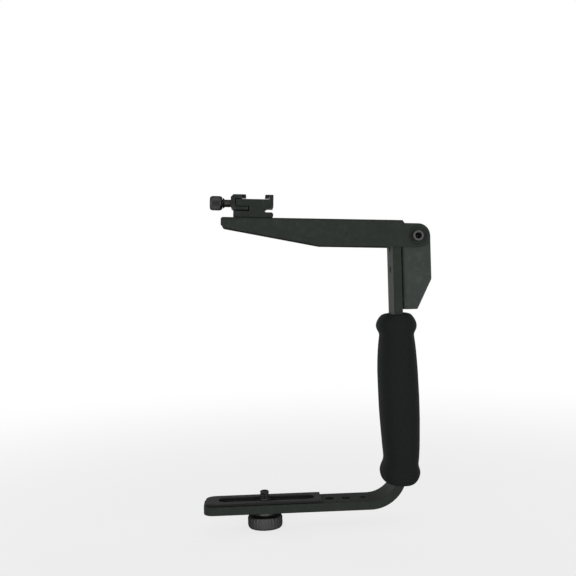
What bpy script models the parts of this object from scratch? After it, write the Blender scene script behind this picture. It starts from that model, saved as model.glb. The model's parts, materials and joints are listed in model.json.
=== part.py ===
"""Camera flash bracket with a foam grip, a flip-over arm and a clamping flash shoe.

One flat bar is bent into an L: its flat leg goes under the camera, and its upright leg
carries a foam grip and, at the top, a folded pivot bracket. The arm, a folded channel
that is open underneath, turns on the pivot bolt and holds the clamping shoe over the lens.

Metres, +Z up, +X from the lens towards the grip, -Y the side that the lens faces.
The bracket's own zero is on the lens axis, at the flat leg's top face and mid width.
The whole model then hangs from the tip of the camera screw, which is the world's origin.
"""

from math import atan2, cos, pi, radians, sin, sqrt

import bmesh
import bpy
from mathutils import Vector

# Clearances that every piece shares
SEAT_GAP = 0.0003
RUNNING_GAP = 0.0003
CUT_OVERRUN = 0.002
MERGE_DISTANCE = 0.000002

# Flat bar
BAR_WIDTH = 0.0254
BAR_THICKNESS = 0.0060
BAR_EDGE_BREAK = 0.0005
BEND_INNER_RADIUS = 0.0198
POST_REACH = 0.0922
BASE_REACH = 0.0420
BASE_CORNER_RADIUS = 0.0070
POST_CORNER_RADIUS = 0.0040

# Holes of the flat leg
SLOT_END_MARGIN = 0.0120
SLOT_HOLE_MARGIN = 0.0127
HOLE_PITCH = 0.0116
LAST_HOLE_MARGIN = 0.0040
WIDE_HOLE_RADIUS = 0.0033
SMALL_HOLE_RADIUS = 0.0021

# Pivot
PIVOT_HEIGHT = 0.1806
PIVOT_OFFSET = 0.0110
PIVOT_BOLT_RADIUS = 0.0025
PIVOT_HEAD_RADIUS = 0.0041
PIVOT_HEAD_HEIGHT = 0.0028
PIVOT_SOCKET_ACROSS = 0.0040
PIVOT_SOCKET_DEPTH = 0.0018
FRICTION_WASHER_RADIUS = 0.0062
FRICTION_WASHER_THICKNESS = 0.0005
SPACER_RADIUS = 0.0045
SPRING_WASHER_RADIUS = 0.0046
SPRING_WASHER_THICKNESS = 0.0009
NUT_ACROSS = 0.0080
NUT_HEIGHT = 0.0034
NUT_COLLAR_HEIGHT = 0.0014
NUT_COLLAR_WALL = 0.0004
NUT_INSERT_WALL = 0.0004
NUT_INSERT_HEIGHT = 0.0010
BOLT_TIP_PROUD = 0.0006

# Arm, in its own axes: x to the right and z up, from the pivot
ARM_RISE = radians(2.55)
ARM_SHEET = 0.0015
ARM_FOLD_RADIUS = 0.0022
ARM_WEB_TOP = 0.0104
ARM_WEB_END = 0.0106
ARM_STEP_RUN = 0.0013
EAR_RADIUS = 0.0083
ARM_BOTTOM = 0.0079
TAPER_START_REACH = 0.0650
TAPER_END_MARGIN = 0.0019
TAPER_END_RISE = 0.0038
ARM_TIP_MARGIN = 0.0233
ARM_TIP_RADIUS = 0.0015
DISH_RADIUS = 0.0066
DISH_FLOOR_RADIUS = 0.0052
DISH_DEPTH = 0.0010

# Pivot bracket
BRACKET_SHEET = 0.0016
BRACKET_FOLD_RADIUS = 0.0042
FLANGE_REACH = 0.0091
FLANGE_RADIUS = 0.0078
FLANGE_SHOULDER = 0.0060
FLANGE_STRAIGHT = 0.0297
BRACKET_DROP = 0.0500
CHAMFER_FOOT = 0.0010
BRACKET_SCREW_DROPS = (0.0081, 0.0225)
BRACKET_SCREW_RADIUS = 0.0020
BRACKET_SCREW_HEAD_RADIUS = 0.0037
BRACKET_SCREW_HEAD_HEIGHT = 0.0025
BRACKET_SCREW_RECESS = 0.0013
SMALL_SOCKET_ACROSS = 0.0025
SMALL_SOCKET_DEPTH = 0.0014
LOCK_WASHER_RADIUS = 0.0038
LOCK_WASHER_THICKNESS = 0.0010

# Shoe block and clamp jaw, in the arm's axes from the middle of the shoe, heights above the web
SHOE_DEPTH = 0.0240
FOOT_WIDTH = 0.0186
FOOT_THICKNESS = 0.0020
FOOT_CLEARANCE = 0.0001
SHOE_MOUTH = 0.0130
LIP_THICKNESS = 0.0010
SHOE_FLOOR = 0.0126
BLOCK_LEFT = 0.0151
BLOCK_RIGHT = 0.0121
BLOCK_BODY_LEFT = 0.0130
BLOCK_FOOT_HEIGHT = 0.0045
NOTCH_INNER = 0.0056
NOTCH_LOW = 0.0038
NOTCH_HIGH = 0.0070
NOTCH_SLOPE = 0.0012
BLOCK_FOOT_CHAMFER = 0.0010
JAW_LEFT = 0.01685
JAW_WALL = 0.00315
JAW_CHAMFER = 0.0018
JAW_BOTTOM = 0.0052
TONGUE_RIGHT = 0.0050
TONGUE_THICKNESS = 0.0023
TONGUE_END_CLEARANCE = 0.0006
SHOE_EDGE_BREAK = 0.0003

# Fixing of the shoe block
SHOE_SCREW_SPREAD = 0.0065
SHOE_SCREW_RADIUS = 0.0020
SHOE_SCREW_HEAD_RADIUS = 0.0036
SHOE_SCREW_HEAD_HEIGHT = 0.0024
SHOE_SCREW_REACH = 0.0075
SHOE_WASHER_RADIUS = 0.0042
SHOE_WASHER_THICKNESS = 0.0008

# Thumbscrew, distances to the left of the middle of the shoe
THUMB_AXIS_HEIGHT = 0.0102
THUMB_HEAD_END = 0.0314
THUMB_HEAD_START = 0.0229
THUMB_HEAD_RADIUS = 0.0050
THUMB_CONE_RADIUS = 0.0038
THUMB_COLLAR_RADIUS = 0.0030
THUMB_COLLAR_LENGTH = 0.0016
THUMB_SHANK_RADIUS = 0.0026
THUMB_THREAD_RADIUS = 0.0015
THUMB_TIP = 0.0040
THUMB_KNURL_DEPTH = 0.00025
THUMB_CHAMFER = 0.0012
THUMB_TEETH = 22
CLIP_RADIUS = 0.0029
CLIP_THICKNESS = 0.0005
CLIP_RELIEF = 0.0010

# Camera screw, its captive parts and the pad
PAD_THICKNESS = 0.0014
PAD_SIDE_MARGIN = 0.0004
PAD_END_MARGIN = 0.0012
PAD_HOLE_MARGIN = 0.0062
STUD_RADIUS = 0.00317
STUD_RISE = 0.0055
STUD_CHAMFER = 0.0006
CAMERA_CLIP_RADIUS = 0.0050
CAMERA_CLIP_THICKNESS = 0.0007
PAD_SLOT_CLEARANCE = 0.0006
CAMERA_WASHER_RADIUS = 0.0080
CAMERA_WASHER_THICKNESS = 0.0010
KNOB_RADIUS = 0.0120
KNOB_HEIGHT = 0.0085
KNOB_NECK_RADIUS = 0.0070
KNOB_NECK_HEIGHT = 0.0018
KNOB_CHAMFER = 0.0010
KNOB_KNURL_DEPTH = 0.00045
KNOB_TEETH = 30
COIN_SLOT_WIDTH = 0.0020
COIN_SLOT_DEPTH = 0.0018

# Foam grip
GRIP_TOP_MARGIN = 0.0031
GRIP_FOOT_HEIGHT = 0.0097
GRIP_HALF_DEPTH = 0.0142
GRIP_SIDE_WALL = 0.0047
GRIP_LEAN = radians(6.5)
GRIP_LEAN_LENGTH = 0.0150
GRIP_SQUARENESS = 2.4
GRIP_WIDTH_CHANGE_SHARE = 0.40
# Each pair: share of the length from the top, and share of the half depth
GRIP_PROFILE_SHARES = (
    (0.000, 0.60), (0.008, 0.68), (0.022, 0.80), (0.044, 0.93), (0.072, 1.00),
    (0.098, 0.93), (0.115, 0.825), (0.135, 0.835), (0.214, 0.92), (0.330, 0.98),
    (0.500, 0.99), (0.680, 0.945), (0.800, 0.885), (0.862, 0.845), (0.880, 0.87),
    (0.902, 0.965), (0.927, 1.00), (0.955, 0.965), (0.980, 0.88), (0.993, 0.78),
    (1.000, 0.70),
)

# Facets
BEND_STEPS = 12
FOLD_STEPS = 4
CORNER_STEPS = 5
EAR_STEPS = 10
HOLE_STEPS = 24
TURNED_STEPS = 24
GRIP_STEPS = 28
SMOOTH_LIMIT = radians(35)
EDGE_BREAK_LIMIT = radians(40)
HEAD_BREAK_SHARE = 1 / 6
TIP_CHAMFER_SHARE = 1 / 3

# Worked out from the sizes above
BAR_HALF = BAR_WIDTH / 2
BEND_OUTER_RADIUS = BEND_INNER_RADIUS + BAR_THICKNESS
BEND_START = POST_REACH - BEND_INNER_RADIUS
POST_OUTER = POST_REACH + BAR_THICKNESS
POST_MIDDLE = POST_REACH + BAR_THICKNESS / 2
PIVOT_X = POST_OUTER + PIVOT_OFFSET
FIRST_HOLE_REACH = BEND_START - LAST_HOLE_MARGIN - 2 * HOLE_PITCH
SLOT_LEFT_REACH = BASE_REACH - SLOT_END_MARGIN
SLOT_RIGHT_REACH = FIRST_HOLE_REACH - SLOT_HOLE_MARGIN
PAD_RIGHT_REACH = FIRST_HOLE_REACH - PAD_HOLE_MARGIN
GRIP_TOP = PIVOT_HEIGHT - BRACKET_DROP - GRIP_TOP_MARGIN
GRIP_LENGTH = GRIP_TOP - GRIP_FOOT_HEIGHT
GRIP_HALF_WIDTH = BAR_HALF + GRIP_SIDE_WALL
ARM_WEB_UNDER = ARM_WEB_TOP - ARM_SHEET
POST_TOP = PIVOT_HEIGHT - SEAT_GAP + (ARM_WEB_UNDER + PIVOT_OFFSET * sin(ARM_RISE)) / cos(ARM_RISE)
WASHER_INNER_FACE = BAR_HALF + SEAT_GAP
WASHER_OUTER_FACE = WASHER_INNER_FACE + FRICTION_WASHER_THICKNESS
DISH_INNER_FACE = WASHER_OUTER_FACE + RUNNING_GAP
EAR_INNER_FACE = DISH_INNER_FACE + DISH_DEPTH
EAR_OUTER_FACE = EAR_INNER_FACE + ARM_SHEET
DISH_FLOOR = EAR_OUTER_FACE - DISH_DEPTH
STUD_TIP = PAD_THICKNESS + SEAT_GAP + STUD_RISE
SLOT_HALF = STUD_RADIUS + RUNNING_GAP
PAD_SLOT_HALF = CAMERA_CLIP_RADIUS + PAD_SLOT_CLEARANCE
CHANNEL_HALF = FOOT_WIDTH / 2 + FOOT_CLEARANCE
SHOE_REACH = (PIVOT_X + (ARM_WEB_TOP + SHOE_FLOOR) * sin(ARM_RISE)) / cos(ARM_RISE)
ARM_REACH = SHOE_REACH + ARM_TIP_MARGIN
TAPER_END_REACH = ARM_REACH - TAPER_END_MARGIN
LIP_UNDER = SHOE_FLOOR + FOOT_THICKNESS + FOOT_CLEARANCE
LIP_TOP = LIP_UNDER + LIP_THICKNESS
TONGUE_TOP = JAW_BOTTOM + TONGUE_THICKNESS


def clear_scene():
    """Removes what is in the scene, so that only the bracket is left at the end."""
    for thing in list(bpy.data.objects):
        bpy.data.objects.remove(thing, do_unlink=True)


def finish_of(name, colour, roughness, metallic):
    """A Principled material with one colour, roughness and metallic value."""
    made = bpy.data.materials.new(name)
    made.use_nodes = True
    shader = made.node_tree.nodes["Principled BSDF"]
    shader.inputs["Base Color"].default_value = (*colour, 1)
    shader.inputs["Roughness"].default_value = roughness
    shader.inputs["Metallic"].default_value = metallic
    return made


def axis_empty(name, parent=None, place=(0, 0, 0), turn=(0, 0, 0)):
    """An empty on a joint's axis, which carries the pieces that move with it."""
    made = bpy.data.objects.new(name, None)
    bpy.context.scene.collection.objects.link(made)
    made.parent = parent
    made.location = place
    made.rotation_euler = turn
    return made


def object_of(name, shape, parent, place=(0, 0, 0), turn=(0, 0, 0)):
    """Closes a bmesh into an object under its parent, shaded smooth where it is round."""
    bmesh.ops.remove_doubles(shape, verts=shape.verts[:], dist=MERGE_DISTANCE)
    bmesh.ops.recalc_face_normals(shape, faces=shape.faces[:])
    mesh = bpy.data.meshes.new(name)
    shape.to_mesh(mesh)
    shape.free()
    mesh.shade_smooth()
    mesh.set_sharp_from_angle(angle=SMOOTH_LIMIT)
    made = bpy.data.objects.new(name, mesh)
    bpy.context.scene.collection.objects.link(made)
    made.parent = parent
    made.location = place
    made.rotation_euler = turn
    return made


def dressed(made, finish):
    """Gives a piece its material."""
    made.data.materials.append(finish)
    return made


def as_cutter(made):
    """Marks a helper that shapes another piece and is no piece itself."""
    made.hide_render = True
    made.display_type = "WIRE"
    return made


def shaped_by(made, helper, operation="DIFFERENCE"):
    """Adds an exact Boolean with a helper."""
    step = made.modifiers.new(helper.name, "BOOLEAN")
    step.operation = operation
    step.solver = "EXACT"
    step.object = as_cutter(helper)
    return made


def with_edge_break(made, width, steps=1):
    """Breaks the sharp edges, leaving the round stretches alone."""
    step = made.modifiers.new("edge_break", "BEVEL")
    step.width = width
    step.segments = steps
    step.limit_method = "ANGLE"
    step.angle_limit = EDGE_BREAK_LIMIT
    return made


def arc(centre, radius, start, end, steps):
    """Points of an arc in a plane, from one angle to another, both ends included."""
    angles = [start + (end - start) * step / steps for step in range(steps + 1)]
    return [(centre[0] + radius * cos(angle), centre[1] + radius * sin(angle)) for angle in angles]


def prism(outline, axis, low, high):
    """A bmesh of a flat outline pushed along an axis. The outline's two numbers are the other two axes."""
    place = {
        "X": lambda a, b, along: (along, a, b),
        "Y": lambda a, b, along: (a, along, b),
        "Z": lambda a, b, along: (a, b, along),
    }[axis]
    shape = bmesh.new()
    foot = shape.faces.new([shape.verts.new(place(a, b, low)) for a, b in outline])
    pushed = bmesh.ops.extrude_face_region(shape, geom=[foot])
    moved = [item for item in pushed["geom"] if isinstance(item, bmesh.types.BMVert)]
    bmesh.ops.translate(shape, verts=moved, vec=Vector(place(0, 0, high - low)))
    return shape


def turned(profile, steps=TURNED_STEPS, closed=False):
    """A bmesh spun about Z from (radius, height) points. A closed profile makes a ring."""
    shape = bmesh.new()
    points = [shape.verts.new((radius, 0, height)) for radius, height in profile]
    pairs = list(zip(points, points[1:]))
    if closed:
        pairs.append((points[-1], points[0]))
    edges = [shape.edges.new(pair) for pair in pairs]
    bmesh.ops.spin(
        shape, geom=points + edges, cent=(0, 0, 0), axis=(0, 0, 1), angle=2 * pi, steps=steps, use_merge=True
    )
    return shape


def ring(inner, outer, low, high, steps=TURNED_STEPS):
    """A bmesh of a plain washer or tube."""
    return turned([(inner, low), (outer, low), (outer, high), (inner, high)], steps, closed=True)


def rod(radius, low, high, steps=HOLE_STEPS):
    """A bmesh of a plain round bar, for a hole."""
    return turned([(0, low), (radius, low), (radius, high), (0, high)], steps)


def hexagon(across, low, high):
    """A bmesh of a six-sided bar of a size across its flats."""
    corner = across / sqrt(3)
    return prism(arc((0, 0), corner, 0, 2 * pi, 6)[:-1], "Z", low, high)


def knurled(profile, teeth, depth):
    """A bmesh turned about Z from (radius, height, ridged) points, with ridges where they are asked for."""
    shape = bmesh.new()
    count = 2 * teeth
    rows = []
    for radius, height, ridged in profile:
        row = []
        for step in range(count):
            reach = radius - depth if ridged and step % 2 else radius
            angle = 2 * pi * step / count
            row.append(shape.verts.new((reach * cos(angle), reach * sin(angle), height)))
        rows.append(row)
    for low, high in zip(rows, rows[1:]):
        for step in range(count):
            after = (step + 1) % count
            shape.faces.new((low[step], low[after], high[after], high[step]))
    shape.faces.new(rows[0])
    shape.faces.new(rows[-1])
    return shape


def stadium(left, right, half, steps):
    """Outline of a slot with round ends, from its left tip to its right tip."""
    right_end = arc((right - half, 0), half, -pi / 2, pi / 2, steps)
    left_end = arc((left + half, 0), half, pi / 2, 3 * pi / 2, steps)
    return right_end + left_end


def bar_outline(growth=0):
    """Side view of the bent bar, grown evenly if asked."""
    centre = (BEND_START, BEND_INNER_RADIUS)
    inner = arc(centre, BEND_INNER_RADIUS - growth, -pi / 2, 0, BEND_STEPS)
    outer = arc(centre, BEND_OUTER_RADIUS + growth, 0, -pi / 2, BEND_STEPS)
    left_end = [(-BASE_REACH - growth, -BAR_THICKNESS - growth), (-BASE_REACH - growth, growth)]
    post_end = [(POST_REACH - growth, POST_TOP + growth), (POST_OUTER + growth, POST_TOP + growth)]
    return left_end + inner + post_end + outer


def frame_bar(parent, finish):
    """The bent flat bar with its slot, its holes and the bracket's two tapped holes."""
    bar = object_of("frame_bar", prism(bar_outline(), "Y", -BAR_HALF, BAR_HALF), parent)
    dressed(bar, finish)
    round_corners(bar, lambda place: place.x < -BASE_REACH + CUT_OVERRUN, "Z", BASE_CORNER_RADIUS)
    round_corners(bar, lambda place: place.z > POST_TOP - CUT_OVERRUN, "X", POST_CORNER_RADIUS)
    with_edge_break(bar, BAR_EDGE_BREAK)
    low = -BAR_THICKNESS - CUT_OVERRUN
    slot = prism(stadium(-SLOT_LEFT_REACH, SLOT_RIGHT_REACH, SLOT_HALF, CORNER_STEPS * 2), "Z", low, CUT_OVERRUN)
    shaped_by(bar, object_of("bar_slot_cutter", slot, parent))
    for number, radius in enumerate((WIDE_HOLE_RADIUS, WIDE_HOLE_RADIUS, SMALL_HOLE_RADIUS)):
        place = (FIRST_HOLE_REACH + number * HOLE_PITCH, 0, 0)
        hole = object_of(f"bar_hole_cutter_{number}", rod(radius, low, CUT_OVERRUN), parent, place)
        shaped_by(bar, hole)
    for number, drop in enumerate(BRACKET_SCREW_DROPS):
        depth = BAR_THICKNESS + 2 * CUT_OVERRUN
        hole = rod(BRACKET_SCREW_RADIUS + RUNNING_GAP, 0, depth)
        place = (POST_REACH - CUT_OVERRUN, 0, PIVOT_HEIGHT - drop)
        shaped_by(bar, object_of(f"bar_tap_cutter_{number}", hole, parent, place, (0, pi / 2, 0)))
    return bar


def round_corners(made, chosen, along, radius):
    """Rounds the mesh's edges that run along one axis and whose middle is chosen."""
    shape = bmesh.new()
    shape.from_mesh(made.data)
    index = "XYZ".index(along)
    edges = []
    for edge in shape.edges:
        first, last = (point.co for point in edge.verts)
        run = last - first
        if abs(run[index]) > run.length / 2 and chosen((first + last) / 2):
            edges.append(edge)
    bmesh.ops.bevel(
        shape, geom=edges, offset=radius, segments=CORNER_STEPS, profile=0.5, affect="EDGES", clamp_overlap=True
    )
    shape.to_mesh(made.data)
    shape.free()
    made.data.set_sharp_from_angle(angle=SMOOTH_LIMIT)


def channel_outline(half, sheet, fold, open_end, closed_face, way):
    """Section of a folded channel. Its web is at closed_face, and it opens the other way, to open_end."""
    inside = fold - sheet
    centre = closed_face - way * fold
    outer = [(-half, open_end)]
    outer += [(-half + fold - fold * cos(angle), centre + way * fold * sin(angle)) for angle in fold_angles()]
    outer += [(half - fold + fold * cos(angle), centre + way * fold * sin(angle)) for angle in fold_angles()[::-1]]
    outer += [(half, open_end), (half - sheet, open_end)]
    inner_half = half - fold
    outer += [(inner_half + inside * cos(angle), centre + way * inside * sin(angle)) for angle in fold_angles()]
    outer += [(-inner_half - inside * cos(angle), centre + way * inside * sin(angle)) for angle in fold_angles()[::-1]]
    outer += [(-half + sheet, open_end)]
    return outer


def fold_angles():
    """Angles of the points along a quarter-round fold."""
    return [pi / 2 * step / FOLD_STEPS for step in range(FOLD_STEPS + 1)]


def arm_side_outline():
    """Side view of the arm: tapered towards its tip, stepped down to the ears, round at the pivot."""
    step_end = ARM_WEB_END - ARM_STEP_RUN
    ear_low = (EAR_RADIUS - ARM_BOTTOM, 0)
    points = [(-ARM_WEB_END, ARM_WEB_TOP), (-step_end, EAR_RADIUS)]
    points += arc((0, 0), EAR_RADIUS, pi / 2, 0, EAR_STEPS)
    points += arc(ear_low, ARM_BOTTOM, 0, -pi / 2, EAR_STEPS)
    points += [(-TAPER_START_REACH, -ARM_BOTTOM), (-TAPER_END_REACH, TAPER_END_RISE)]
    points += [(-ARM_REACH, TAPER_END_RISE + ARM_TIP_RADIUS)]
    tip = (-ARM_REACH + ARM_TIP_RADIUS, ARM_WEB_TOP - ARM_TIP_RADIUS)
    points += arc(tip, ARM_TIP_RADIUS, pi, pi / 2, CORNER_STEPS)
    return points


def dish_profile(base, tip):
    """A cone stub from the dish's rim radius at base to its floor radius at tip."""
    return [(0, base), (DISH_RADIUS, base), (DISH_FLOOR_RADIUS, tip), (0, tip)]


def flip_arm(parent, finish):
    """The folded arm: a channel cut to its side view, with a dish pressed into each ear."""
    section = channel_outline(
        EAR_OUTER_FACE, ARM_SHEET, ARM_FOLD_RADIUS, -ARM_BOTTOM - CUT_OVERRUN, ARM_WEB_TOP, 1
    )
    channel = prism(section, "X", -ARM_REACH - CUT_OVERRUN, EAR_RADIUS + CUT_OVERRUN)
    arm = dressed(object_of("flip_arm", channel, parent), finish)
    width = EAR_OUTER_FACE + CUT_OVERRUN
    side = object_of("arm_side_cutter", prism(arm_side_outline(), "Y", -width, width), parent)
    shaped_by(arm, side, "INTERSECT")
    relief = [
        (-ARM_WEB_END, -ARM_BOTTOM - 2 * CUT_OVERRUN),
        (EAR_RADIUS + 2 * CUT_OVERRUN, -ARM_BOTTOM - 2 * CUT_OVERRUN),
        (EAR_RADIUS + 2 * CUT_OVERRUN, ARM_WEB_TOP + CUT_OVERRUN),
        (-ARM_WEB_END, ARM_WEB_TOP + CUT_OVERRUN),
    ]
    shaped_by(arm, object_of("arm_relief_cutter", prism(relief, "Y", -EAR_INNER_FACE, EAR_INNER_FACE), parent))
    for side_name, turn in (("front", pi / 2), ("rear", -pi / 2)):
        bump = turned(dish_profile(DISH_INNER_FACE + ARM_SHEET, DISH_INNER_FACE), HOLE_STEPS)
        shaped_by(arm, object_of(f"arm_bump_{side_name}", bump, parent, turn=(turn, 0, 0)), "UNION")
        dish = turned(dish_outer_profile(), HOLE_STEPS)
        shaped_by(arm, object_of(f"arm_dish_cutter_{side_name}", dish, parent, turn=(turn, 0, 0)))
    bore = rod(PIVOT_BOLT_RADIUS + RUNNING_GAP, -width, width)
    shaped_by(arm, object_of("arm_bore_cutter", bore, parent, turn=(pi / 2, 0, 0)))
    for number in (-1, 1):
        hole = rod(SHOE_SCREW_RADIUS + RUNNING_GAP, ARM_WEB_UNDER - CUT_OVERRUN, ARM_WEB_TOP + CUT_OVERRUN)
        place = (-SHOE_REACH, number * SHOE_SCREW_SPREAD, 0)
        shaped_by(arm, object_of(f"arm_screw_cutter_{number}", hole, parent, place))
    return arm


def dish_outer_profile():
    """The hollow that the dish leaves on the ear's outside, run on past the sheet along the same slope."""
    slope = (DISH_RADIUS - DISH_FLOOR_RADIUS) / DISH_DEPTH
    rim = DISH_RADIUS + slope * CUT_OVERRUN
    return [(0, DISH_FLOOR), (DISH_FLOOR_RADIUS, DISH_FLOOR), (rim, EAR_OUTER_FACE + CUT_OVERRUN),
            (0, EAR_OUTER_FACE + CUT_OVERRUN)]


def bracket_side_outline():
    """Side view of the pivot bracket, round about the pivot and chamfered at its foot."""
    left = POST_OUTER + SEAT_GAP - CUT_OVERRUN
    shoulder = atan2(FLANGE_SHOULDER, -sqrt(FLANGE_RADIUS**2 - FLANGE_SHOULDER**2))
    foot = PIVOT_HEIGHT - BRACKET_DROP
    points = [(left, foot), (PIVOT_X - CHAMFER_FOOT, foot)]
    points += [(PIVOT_X + FLANGE_REACH, PIVOT_HEIGHT - FLANGE_STRAIGHT)]
    middle = (PIVOT_X + FLANGE_REACH - FLANGE_RADIUS, PIVOT_HEIGHT)
    points += arc(middle, FLANGE_RADIUS, 0, shoulder, EAR_STEPS)
    points += [(left, PIVOT_HEIGHT + FLANGE_SHOULDER)]
    return points


def pivot_bracket(parent, finish):
    """The folded channel that stands on the post's outer face and carries the pivot bolt."""
    face = POST_OUTER + SEAT_GAP
    section = channel_outline(
        BAR_HALF, BRACKET_SHEET, BRACKET_FOLD_RADIUS, PIVOT_X + FLANGE_REACH + CUT_OVERRUN, face, -1
    )
    swapped = [(along, across) for across, along in section]
    low = PIVOT_HEIGHT - BRACKET_DROP - CUT_OVERRUN
    high = PIVOT_HEIGHT + FLANGE_RADIUS + CUT_OVERRUN
    bracket = dressed(object_of("pivot_bracket", prism(swapped, "Z", low, high), parent), finish)
    width = BAR_HALF + CUT_OVERRUN
    side = object_of("bracket_side_cutter", prism(bracket_side_outline(), "Y", -width, width), parent)
    shaped_by(bracket, side, "INTERSECT")
    for number, drop in enumerate(BRACKET_SCREW_DROPS):
        hole = rod(BRACKET_SCREW_RADIUS + RUNNING_GAP, -CUT_OVERRUN, BRACKET_SHEET + CUT_OVERRUN)
        place = (face, 0, PIVOT_HEIGHT - drop)
        shaped_by(bracket, object_of(f"bracket_hole_cutter_{number}", hole, parent, place, (0, pi / 2, 0)))
    bore = rod(PIVOT_BOLT_RADIUS + RUNNING_GAP, -width, width)
    place = (PIVOT_X, 0, PIVOT_HEIGHT)
    shaped_by(bracket, object_of("bracket_bore_cutter", bore, parent, place, (pi / 2, 0, 0)))
    return bracket


def cap_screw_profile(radius, head_radius, head_height, length):
    """A screw along +Z: its head's outer face at 0, its tip at head height plus length."""
    break_size = head_height * HEAD_BREAK_SHARE
    return [
        (0, 0), (head_radius - break_size, 0), (head_radius, break_size), (head_radius, head_height),
        (radius, head_height), (radius, head_height + length - break_size),
        (radius - break_size, head_height + length), (0, head_height + length),
    ]


def bracket_fixings(parent, steel):
    """The two screws that hold the bracket to the post, from inside the channel, and their lock washers."""
    web_inner = POST_OUTER + SEAT_GAP + BRACKET_SHEET
    washer_start = web_inner + SEAT_GAP
    head_face = washer_start + LOCK_WASHER_THICKNESS + SEAT_GAP
    length = head_face - POST_REACH - BRACKET_SCREW_RECESS
    profile = cap_screw_profile(
        BRACKET_SCREW_RADIUS, BRACKET_SCREW_HEAD_RADIUS, BRACKET_SCREW_HEAD_HEIGHT, length
    )
    turn = (0, -pi / 2, 0)
    for level, drop in zip(("upper", "lower"), BRACKET_SCREW_DROPS):
        height = PIVOT_HEIGHT - drop
        place = (head_face + BRACKET_SCREW_HEAD_HEIGHT, 0, height)
        screw = dressed(object_of(f"bracket_screw_{level}", turned(profile), parent, place, turn), steel)
        socket = hexagon(SMALL_SOCKET_ACROSS, -CUT_OVERRUN, SMALL_SOCKET_DEPTH)
        shaped_by(screw, object_of(f"bracket_socket_cutter_{level}", socket, parent, place, turn))
        washer = ring(BRACKET_SCREW_RADIUS + RUNNING_GAP, LOCK_WASHER_RADIUS, 0, LOCK_WASHER_THICKNESS)
        place = (washer_start + LOCK_WASHER_THICKNESS, 0, height)
        dressed(object_of(f"bracket_lock_washer_{level}", washer, parent, place, turn), steel)


def pivot_stack(parent, steel, nylon):
    """The pivot bolt and what it clamps, along the pivot axis from front to rear."""
    place = (PIVOT_X, 0, PIVOT_HEIGHT)
    towards_rear = (-pi / 2, 0, 0)
    head_seat = -DISH_FLOOR - SEAT_GAP
    washer_start = DISH_FLOOR + SEAT_GAP
    nut_start = washer_start + SPRING_WASHER_THICKNESS + SEAT_GAP
    nut_end = nut_start + NUT_HEIGHT + NUT_COLLAR_HEIGHT
    length = nut_end + BOLT_TIP_PROUD - head_seat
    profile = cap_screw_profile(PIVOT_BOLT_RADIUS, PIVOT_HEAD_RADIUS, PIVOT_HEAD_HEIGHT, length)
    head_face = head_seat - PIVOT_HEAD_HEIGHT
    bolt_profile = [(radius, head_face + height) for radius, height in profile]
    bolt = dressed(object_of("pivot_bolt", turned(bolt_profile), parent, place, towards_rear), steel)
    socket = hexagon(PIVOT_SOCKET_ACROSS, head_face - CUT_OVERRUN, head_face + PIVOT_SOCKET_DEPTH)
    shaped_by(bolt, object_of("bolt_socket_cutter", socket, parent, place, towards_rear))
    bore = PIVOT_BOLT_RADIUS + RUNNING_GAP
    for side, turn in (("front", (pi / 2, 0, 0)), ("rear", towards_rear)):
        friction = ring(bore, FRICTION_WASHER_RADIUS, WASHER_INNER_FACE, WASHER_OUTER_FACE)
        dressed(object_of(f"friction_washer_{side}", friction, parent, place, turn), nylon)
    spacer_half = BAR_HALF - BRACKET_SHEET - SEAT_GAP
    tube = ring(bore, SPACER_RADIUS, -spacer_half, spacer_half)
    dressed(object_of("pivot_spacer", tube, parent, place, towards_rear), steel)
    spring = ring(bore, SPRING_WASHER_RADIUS, washer_start, washer_start + SPRING_WASHER_THICKNESS)
    dressed(object_of("pivot_spring_washer", spring, parent, place, towards_rear), steel)
    nut = hexagon(NUT_ACROSS, nut_start, nut_end)
    nut_piece = dressed(object_of("pivot_nut", nut, parent, place, towards_rear), steel)
    corner = NUT_ACROSS / sqrt(3)
    insert_outer = bore + NUT_INSERT_WALL
    shoulder = insert_outer + SEAT_GAP + NUT_COLLAR_WALL
    crown = turned([
        (0, nut_start - CUT_OVERRUN), (corner + CUT_OVERRUN, nut_start - CUT_OVERRUN),
        (corner + CUT_OVERRUN, nut_start + NUT_HEIGHT), (shoulder, nut_start + NUT_HEIGHT),
        (shoulder, nut_end + CUT_OVERRUN), (0, nut_end + CUT_OVERRUN),
    ])
    shaped_by(nut_piece, object_of("nut_crown_cutter", crown, parent, place, towards_rear), "INTERSECT")
    insert_start = nut_end - NUT_INSERT_HEIGHT
    nut_bore = turned([
        (0, nut_start - CUT_OVERRUN), (bore, nut_start - CUT_OVERRUN), (bore, insert_start - SEAT_GAP),
        (insert_outer + SEAT_GAP, insert_start - SEAT_GAP), (insert_outer + SEAT_GAP, nut_end + CUT_OVERRUN),
        (0, nut_end + CUT_OVERRUN),
    ])
    shaped_by(nut_piece, object_of("nut_bore_cutter", nut_bore, parent, place, towards_rear))
    insert = ring(bore, insert_outer, insert_start, nut_end)
    dressed(object_of("pivot_nut_insert", insert, parent, place, towards_rear), nylon)


def grip_line(along):
    """Middle point and lean of the foam grip at a share of its length from the top."""
    run = GRIP_LENGTH * along
    lean_start = GRIP_LENGTH - GRIP_LEAN_LENGTH
    if run <= lean_start:
        return POST_MIDDLE, GRIP_TOP - run, 0
    lean = GRIP_LEAN * (run - lean_start) / GRIP_LEAN_LENGTH
    radius = GRIP_LEAN_LENGTH / GRIP_LEAN
    return POST_MIDDLE - radius * (1 - cos(lean)), GRIP_TOP - lean_start - radius * sin(lean), lean


def rounded(value, power):
    """A signed power, for the softened corners of the grip's section."""
    return abs(value) ** power * (1 if value >= 0 else -1)


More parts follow.
